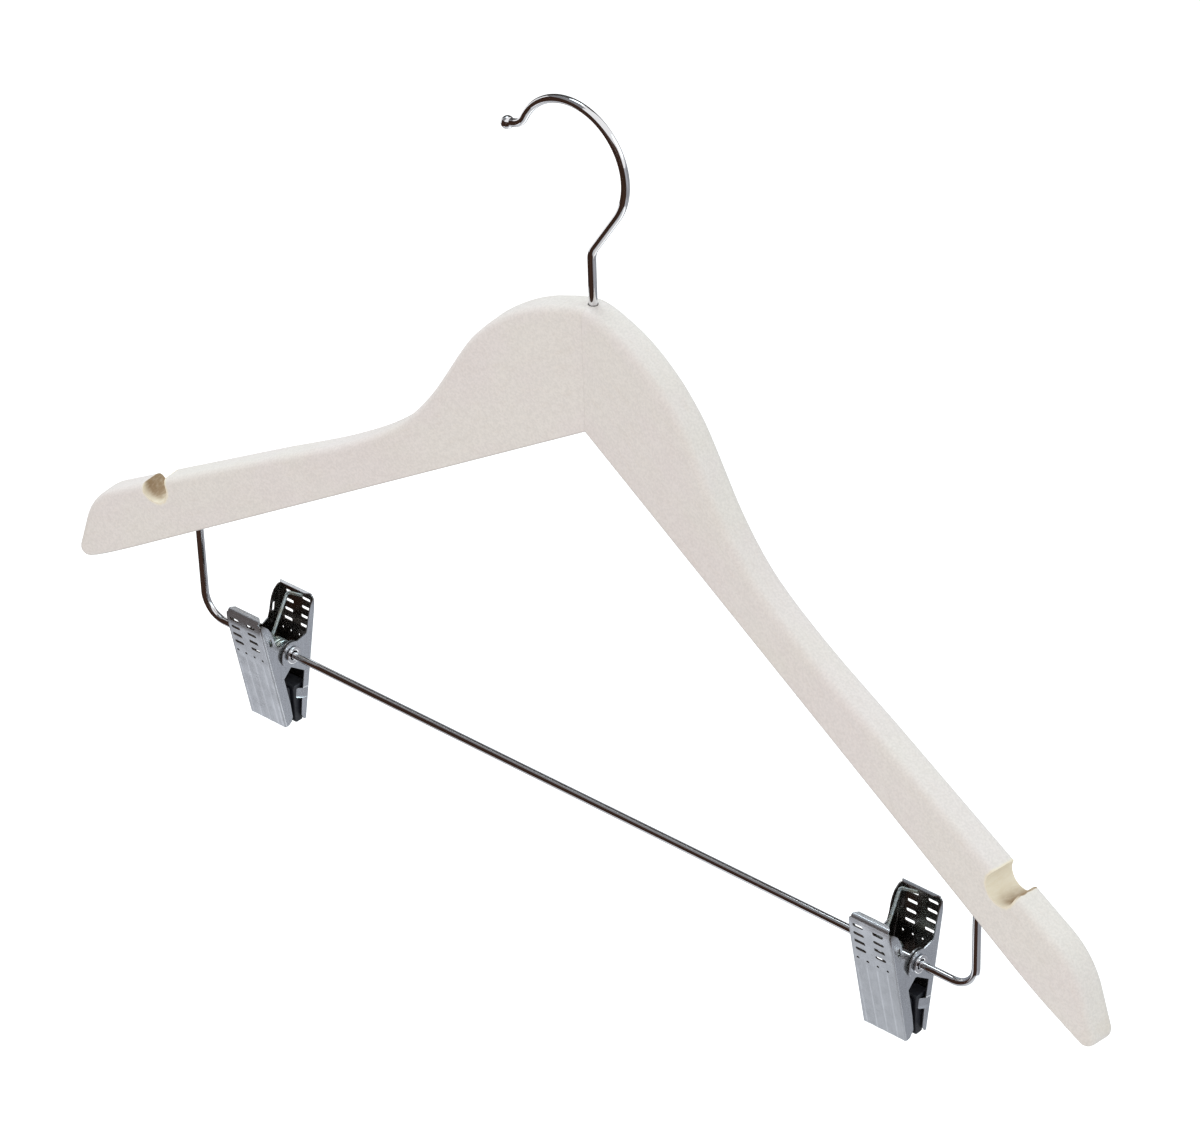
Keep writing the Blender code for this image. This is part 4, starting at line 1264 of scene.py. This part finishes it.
def jaw_mesh(clip, wire):
    """The stamping both jaws share, about its pivot."""
    sizes = jaw_sizes(clip, wire)
    cutters = jaw_cutters(clip, wire, sizes)
    mesh = carved(jaw_skin(clip, sizes), cutters, clip.plate)
    slots, slot_reach = slot_places(clip), (clip.slot_length - clip.slot_height) / 2

    # 0 on the outer face and 1 on the inner, where the material paints shade
    def inside(point):
        deep = under_skin(clip, sizes, point) / clip.plate
        return clamped((deep - INSIDE_FROM) / (INSIDE_TO - INSIDE_FROM))

    # Where the flutes' ridges get their painted highlight, on the outer face only
    def ridge(point):
        on_plate = abs(point.x) < clip.width / 2 - clip.fold
        outer = on_plate and inside(point) < RIDGE_UNTIL
        return pressed_in(clip, sizes, point)[1] if outer else 0.0

    # The faces of the slots' and small holes' walls, which the material paints in shade
    def hole_wall(point):
        for share in DOT_SHARES:
            off = math.hypot(point.x - share * clip.width, point.z + clip.dot_depth)
            if off < clip.dot_radius + HOLE_WALL:
                return 1.0
        for across, down in slots:
            along = max(abs(point.x - across) - slot_reach, 0.0)
            if math.hypot(along, point.z + down) < clip.slot_height / 2 + HOLE_WALL:
                return 1.0
        return 0.0

    mark(mesh, "inside", inside)
    mark(mesh, "ridge", ridge)
    mark(mesh, "hole_wall", hole_wall, faces=True)

    # The tab is pressed in over the pad
    tab_below = -sizes["length"] + clip.foot_drop - clip.pad_top
    for vert in mesh.vertices:
        past = vert.co.y - clip.narrow_flange
        if vert.co.x < 0.0 and past > 0.0 and vert.co.z < tab_below:
            vert.co.x += past * TAB_LEAN
    mesh.transform(sizes["space"])
    return mesh


def pad_mesh(clip, wire):
    """A rubber block between a jaw's plate and the plane where the two pads meet."""
    sizes = jaw_sizes(clip, wire)
    inner = sizes["space"] @ Matrix.Translation((0.0, clip.plate + wire.gap, 0.0))

    def on_plate(height):
        down = (inner.translation.z - height) / math.cos(sizes["tilt"])
        return (inner @ Vector((0.0, 0.0, -down))).y

    top, foot, meet = -clip.pad_top, -clip.pad_foot, -wire.gap / 2
    corners = [(on_plate(foot), foot), (on_plate(top), top), (meet, top), (meet, foot)]
    half = clip.pad_width / 2
    aside = Matrix.Translation((sizes["aside"], 0.0, 0.0)) @ FROM_SIDE
    shape = prism(corners, -half, half, aside)
    grips = [
        edge
        for edge in shape.edges
        if all(abs(vert.co.y - meet) < WELD for vert in edge.verts)
        and abs(edge.verts[0].co.z - edge.verts[1].co.z) < WELD
    ]
    cut = {"clamp_overlap": True, **BEVEL}
    bmesh.ops.bevel(shape, geom=grips, offset=clip.pad_round, segments=8, **cut)
    rims = [edge for edge in shape.edges if edge.calc_face_angle(0.0) > PAD_CORNER]
    bmesh.ops.bevel(shape, geom=rims, offset=PAD_EDGE, segments=4, **cut)
    return mesh_of(shape, "pad")


def rivet_mesh(clip, wire):
    """The hollow rivet, turned from its profile, with a rolled head at each end."""
    inner = wire.bar_wire / 2 + clip.play
    outer = inner + clip.rivet_wall
    aside = (clip.sheet + wire.gap) / 2
    shoulder = clip.width / 2 + aside + wire.gap
    end = shoulder + clip.rivet_head
    roll, mouth = clip.rivet_head / 2, RIVET_MOUTH
    head = arc((end - roll, clip.rivet_flare - roll), roll, -math.pi, -math.pi, 10)
    hollow = arc((end - mouth, inner + mouth), mouth, -math.pi / 2, math.pi / 2, 6)
    right = [(shoulder, outer)] + head + hollow[::-1]
    left = [(-x, radius) for x, radius in reversed(right)]
    shape = bmesh.new()
    corners = [shape.verts.new((x, 0.0, radius)) for x, radius in right + left]
    profile = [
        shape.edges.new(ends) for ends in zip(corners, corners[1:] + corners[:1])
    ]
    swept(
        shape, corners + profile, (0, 0, 0), (1, 0, 0), 2 * math.pi, 56, closed=True
    )
    bmesh.ops.remove_doubles(shape, verts=shape.verts, dist=WELD)
    bmesh.ops.recalc_face_normals(shape, faces=shape.faces)
    return mesh_of(shape, "rivet")


def spring_mesh(clip, wire):
    """A torsion spring about X, with one leg lying in each jaw."""
    sizes = jaw_sizes(clip, wire)
    radius = clip.spring_wire / 2
    coil = sizes["rivet"] + wire.gap + radius
    lie = clip.sheet + wire.gap + radius

    def in_jaw(x, down, back=False):
        point = sizes["space"] @ Vector((0.0, lie, -down))
        return Vector((x, -point.y if back else point.y, point.z))

    # The leg leaves the coil where a line from its corner touches the coil
    corner = in_jaw(0.0, clip.leg_top)
    far = math.hypot(corner.y, corner.z)
    touch = math.atan2(corner.z, corner.y) + math.acos(coil / far)
    turn = 2 * math.pi * clip.whole_turns + (2 * touch - math.pi) % (2 * math.pi)
    across = (clip.spring_wire + clip.coil_gap) * turn / (2 * math.pi)
    front_x, back_x = across / 2, -across / 2 - clip.leg_lean
    start = in_jaw(front_x - clip.leg_foot, clip.leg_tip)
    bend = in_jaw(front_x, clip.leg_top)
    on_coil = Vector((front_x, math.cos(touch) * coil, math.sin(touch) * coil))
    drawn = Drawn(start, bend - start, radius, 18)
    drawn.follow((bend, on_coil), LEG_BEND)
    drawn.bend((0.0, 0.0, 0.0), (1.0, 0.0, 0.0), turn, COIL_STEP, -across)
    corner = in_jaw(back_x, clip.leg_top, back=True)
    tip = in_jaw(back_x + clip.leg_foot, clip.leg_tip, back=True)
    drawn.toward(corner - drawn.here, LEG_BEND)
    drawn.follow((corner, tip), LEG_BEND)
    return drawn.close("spring")


def show_in_jaws(shared, material, piece, node, crease=35.0):
    """Shows one mesh in every jaw of the two clips, turned round in the back jaws."""
    for hand, centre, _ in clips():
        for side, turn in (("front", 0.0), ("back", math.pi)):
            mesh = shared.copy()
            mesh.transform(Matrix.Translation(centre) @ Matrix.Rotation(turn, 4, "Z"))
            jaw, body = f"{hand}_clip_{side}", f"{hand}_{side}_grip"
            show(f"{jaw}_{piece}", mesh, material, body, f"{jaw}_{node}", crease)


class HANGER_OT_arms(bpy.types.Operator):
    """Saws, rounds and drills the two wooden arms, and gives the bush that they hold
    its turned-steel material
    """

    bl_idname = "hanger.arms"
    bl_label = "Arms"

    def execute(self, context):
        arm, wire, _, _ = settings()
        for name, side in (("left_arm", -1), ("right_arm", 1)):
            material = washed_wood(f"{name}_washed_wood", arm, side)
            mesh = arm_mesh(arm, wire, side)
            show(f"{name}_board", mesh, material, "hanger", name, 40.0)
        steel = turned_steel("turned_steel")
        for slot in frame["nodes"]["hook_bush"].material_slots:
            slot.material = steel
        return {"FINISHED"}


class HANGER_OT_hook(bpy.types.Operator):
    """Bends the hook from one wire, from its hidden head to its ball"""

    bl_idname = "hanger.hook"
    bl_label = "Hook"

    def execute(self, context):
        _, wire, _, _ = settings()
        chrome = bright_chrome("hook_chrome", wire.chrome)
        show("hook_wire", hook_mesh(wire), chrome, "swivel_hook", "hook")
        return {"FINISHED"}


class HANGER_OT_bar(bpy.types.Operator):
    """Bends the trouser bar, whose ends stand in the arms"""

    bl_idname = "hanger.bar"
    bl_label = "Trouser bar"

    def execute(self, context):
        arm, wire, _, _ = settings()
        chrome = bright_chrome("bar_chrome", wire.chrome)
        mesh = bar_mesh(arm, wire)
        show("trouser_bar_wire", mesh, chrome, "hanger", "trouser_bar")
        return {"FINISHED"}


class HANGER_OT_jaws(bpy.types.Operator):
    """Stamps and folds the four jaws of the two clips"""

    bl_idname = "hanger.jaws"
    bl_label = "Jaws"

    def execute(self, context):
        _, wire, clip, _ = settings()
        steel = stamped_steel("stamped_steel", clip.steel, clip.inner_steel_shade)
        show_in_jaws(jaw_mesh(clip, wire), steel, "stamping", "jaw", 30.0)
        return {"FINISHED"}


class HANGER_OT_rivets(bpy.types.Operator):
    """Turns the hollow rivet that each clip swings and slides on"""

    bl_idname = "hanger.rivets"
    bl_label = "Rivets"

    def execute(self, context):
        _, wire, clip, _ = settings()
        chrome = bright_chrome("rivet_chrome", wire.chrome)
        for hand, centre, _ in clips():
            mesh = rivet_mesh(clip, wire)
            mesh.transform(Matrix.Translation(centre))
            name, node = f"{hand}_clip_hollow_rivet", f"{hand}_clip_rivet"
            show(name, mesh, chrome, f"{hand}_slider", node)
        return {"FINISHED"}


class HANGER_OT_springs(bpy.types.Operator):
    """Winds the springs, with one leg lying in each jaw"""

    bl_idname = "hanger.springs"
    bl_label = "Springs"

    def execute(self, context):
        _, wire, clip, _ = settings()
        zinc = zinc_wire("zinc_wire", clip.zinc)
        for hand, centre, aside in clips():
            mesh = spring_mesh(clip, wire)
            mesh.transform(Matrix.Translation(centre + Vector((aside, 0.0, 0.0))))
            name, node = f"{hand}_clip_torsion_spring", f"{hand}_clip_spring"
            spring = show(name, mesh, zinc, None, node, weighted=False)
            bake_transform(spring)
        return {"FINISHED"}


class HANGER_OT_pads(bpy.types.Operator):
    """Moulds the rubber pads inside the jaws"""

    bl_idname = "hanger.pads"
    bl_label = "Pads"

    def execute(self, context):
        _, wire, clip, _ = settings()
        rubber = black_rubber("black_rubber", clip.rubber)
        show_in_jaws(pad_mesh(clip, wire), rubber, "rubber", "pad")
        return {"FINISHED"}


def softbox(name, place, size, tint, power):
    """A square soft light that looks at the hanger."""
    light = bpy.data.lights.new(name, "AREA")
    light.shape = "SQUARE"
    light.size = size
    light.energy = power
    light.color = tint
    lamp = placed(name, light)
    lamp.location = place
    aim = Vector(LAMP_TARGET) - Vector(place)
    lamp.rotation_euler = aim.to_track_quat("-Z", "Y").to_euler()


def background_rays(finish):
    """1 for what the camera, metal or glass sees, and 0 for what lights a surface."""
    seen = finish.node("ShaderNodeLightPath", output="Is Camera Ray")
    for name in ("Is Glossy Ray", "Is Transmission Ray"):
        ray = finish.node("ShaderNodeLightPath", output=name)
        seen = finish.maths("MAXIMUM", seen, ray)
    return seen


def pale_floor(name, stage):
    """White to the camera and in metal, and a pale matt floor to everything else."""
    finish = Finish(bpy.data.materials.new(name))
    cloud = finish.noise(finish.place(), 3.0, 2.0, 0.5)
    shade = finish.scaled(tuple(stage.floor), finish.ease(cloud, 0.3, 0.7, 0.99, 1.0))
    matt = finish.node("ShaderNodeBsdfDiffuse", None, {"Color": shade})
    lift = finish.glow(WHITE, 0.5)
    lifted = finish.node("ShaderNodeAddShader", None, {0: matt, 1: lift})
    mixed = {0: background_rays(finish), 1: matt, 2: lifted}
    return finish.end(finish.node("ShaderNodeMixShader", None, mixed))


def lit_world(name, ambient):
    """White to the camera and in metal, and a dimmer even light on every surface."""
    finish = Finish(bpy.data.worlds.new(name))
    strength = finish.ease(background_rays(finish), 0.0, 1.0, ambient, 1.0)
    light = {"Color": WHITE, "Strength": strength}
    sky = finish.node("ShaderNodeBackground", None, light)
    return finish.end(sky, "ShaderNodeOutputWorld")


def ground_disc(stage):
    """The round floor under the hanger."""
    shape = bmesh.new()
    bmesh.ops.create_circle(shape, cap_ends=True, radius=6.0, segments=96)
    bmesh.ops.translate(shape, verts=shape.verts, vec=(0, 0, stage.floor_height))
    mesh = mesh_of(shape, "floor")
    mesh.materials.append(pale_floor("pale_floor", stage))
    return placed("floor", mesh)


def reflected_card(name, low, high, start, turn, shade):
    """A card that only metal sees: two points of radius and height, swept round."""
    shape = bmesh.new()
    first = Matrix.Rotation(math.radians(start), 3, "Z")
    ends = [shape.verts.new(first @ Vector((r, 0.0, z))) for r, z in (low, high)]
    edge = shape.edges.new(ends)
    swept(shape, ends + [edge], (0, 0, 0), (0, 0, 1), math.radians(turn), 48)
    mesh = mesh_of(shape, name)
    finish = Finish(bpy.data.materials.new(name))
    cloud = finish.noise(finish.place(), 2.5, 2.0, 0.5)
    uneven = finish.scaled(shade, finish.ease(cloud, 0.3, 0.7, 0.7, 1.25))
    mesh.materials.append(finish.end(finish.glow(uneven)))
    card = placed(name, mesh)
    for ray in ("camera", "diffuse", "shadow", "transmission", "volume_scatter"):
        setattr(card, f"visible_{ray}", False)
    return card


def reflected_room(stage):
    """What metal alone sees: a dark room before it, grey beside it, a dull ceiling."""
    low, dark = stage.floor_height + 2 * MM, tuple(stage.surround)
    # Each card's lower and upper rim (radius, height), its start and turn, its shade
    cards = (
        ("dark_room", (0.62, low), (0.62, -0.28), -25.0, -203.0, dark),
        ("dark_front", (0.62, -0.28), (0.62, 0.3), -25.0, -140.0, dark),
        ("dark_top", (0.62, 0.3), (0.62, 0.56), -112.0, -56.0, dark),
        ("dull_top", (0.63, 0.25), (0.25, 0.85), -112.0, -75.0, CARD_DULL),
        ("light_below", (0.02, low), (0.62, low), -25.0, -203.0, CARD_LIGHT),
        ("light_skirt", (0.61, low), (0.61, -0.68), -118.0, -70.0, CARD_BRIGHT),
        ("grey_side", (0.62, low), (0.62, -0.02), -25.0, 120.0, CARD_GREY),
        ("grey_back", (0.5, low), (0.5, -0.05), 95.0, 45.0, CARD_GREY),
        ("dull_back", (0.5, -0.05), (0.5, 0.68), 95.0, 80.0, CARD_BROWN),
    )
    return [reflected_card(*card) for card in cards]


def aimed_camera(stage):
    """The camera, where the photograph was taken from."""
    lens = bpy.data.cameras.new("camera")
    lens.sensor_fit = "HORIZONTAL"
    lens.sensor_width = 36.0
    lens.lens = stage.lens
    lens.clip_start = 50 * MM
    camera = placed("camera", lens)
    turn = Matrix(CAMERA_AXES).transposed().to_4x4()
    camera.matrix_world = Matrix.Translation(stage.camera_place) @ turn
    return camera


class HANGER_OT_stage(bpy.types.Operator):
    """Sets the floor, the soft lights, the dark surround and the camera"""

    bl_idname = "hanger.stage"
    bl_label = "Stage"

    def execute(self, context):
        _, _, _, stage = settings()
        scene = context.scene
        scene.view_settings.view_transform = "Standard"
        scene.world = lit_world("soft_light", stage.ambient)
        ground_disc(stage)
        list(reflected_room(stage))
        for name, place, size, tint in LAMPS:
            softbox(name, place, size, tint, getattr(stage, name))
        scene.camera = aimed_camera(stage)
        return {"FINISHED"}


OPERATORS = (
    HANGER_OT_stage,
    HANGER_OT_arms,
    HANGER_OT_hook,
    HANGER_OT_bar,
    HANGER_OT_jaws,
    HANGER_OT_rivets,
    HANGER_OT_springs,
    HANGER_OT_pads,
)
GROUPS = (
    ("hanger_arm", HangerArmSettings),
    ("hanger_wire", HangerWireSettings),
    ("hanger_clip", HangerClipSettings),
    ("hanger_stage", HangerStageSettings),
)


class HANGER_PT_pieces(bpy.types.Panel):
    """Lists the hanger's pieces and their settings"""

    bl_idname = "HANGER_PT_pieces"
    bl_label = "Hanger"
    bl_space_type = "VIEW_3D"
    bl_region_type = "UI"
    bl_category = "Hanger"

    def draw(self, context):
        for operator in OPERATORS:
            self.layout.operator(operator.bl_idname)
        for name, group in GROUPS:
            box = self.layout.box()
            for setting in group.__annotations__:
                box.prop(getattr(context.scene, name), setting)


def register():
    for name, group in GROUPS:
        bpy.utils.register_class(group)
        setattr(bpy.types.Scene, name, bpy.props.PointerProperty(type=group))
    for operator in OPERATORS:
        bpy.utils.register_class(operator)
    bpy.utils.register_class(HANGER_PT_pieces)


def unregister():
    bpy.utils.unregister_class(HANGER_PT_pieces)
    for operator in reversed(OPERATORS):
        bpy.utils.unregister_class(operator)
    for name, group in reversed(GROUPS):
        delattr(bpy.types.Scene, name)
        bpy.utils.unregister_class(group)


def main():
    register()
    bpy.ops.hanger.stage()
    bpy.ops.hanger.arms()
    bpy.ops.hanger.hook()
    bpy.ops.hanger.bar()
    bpy.ops.hanger.jaws()
    bpy.ops.hanger.rivets()
    bpy.ops.hanger.springs()
    bpy.ops.hanger.pads()


if __name__ == "__main__":
    main()
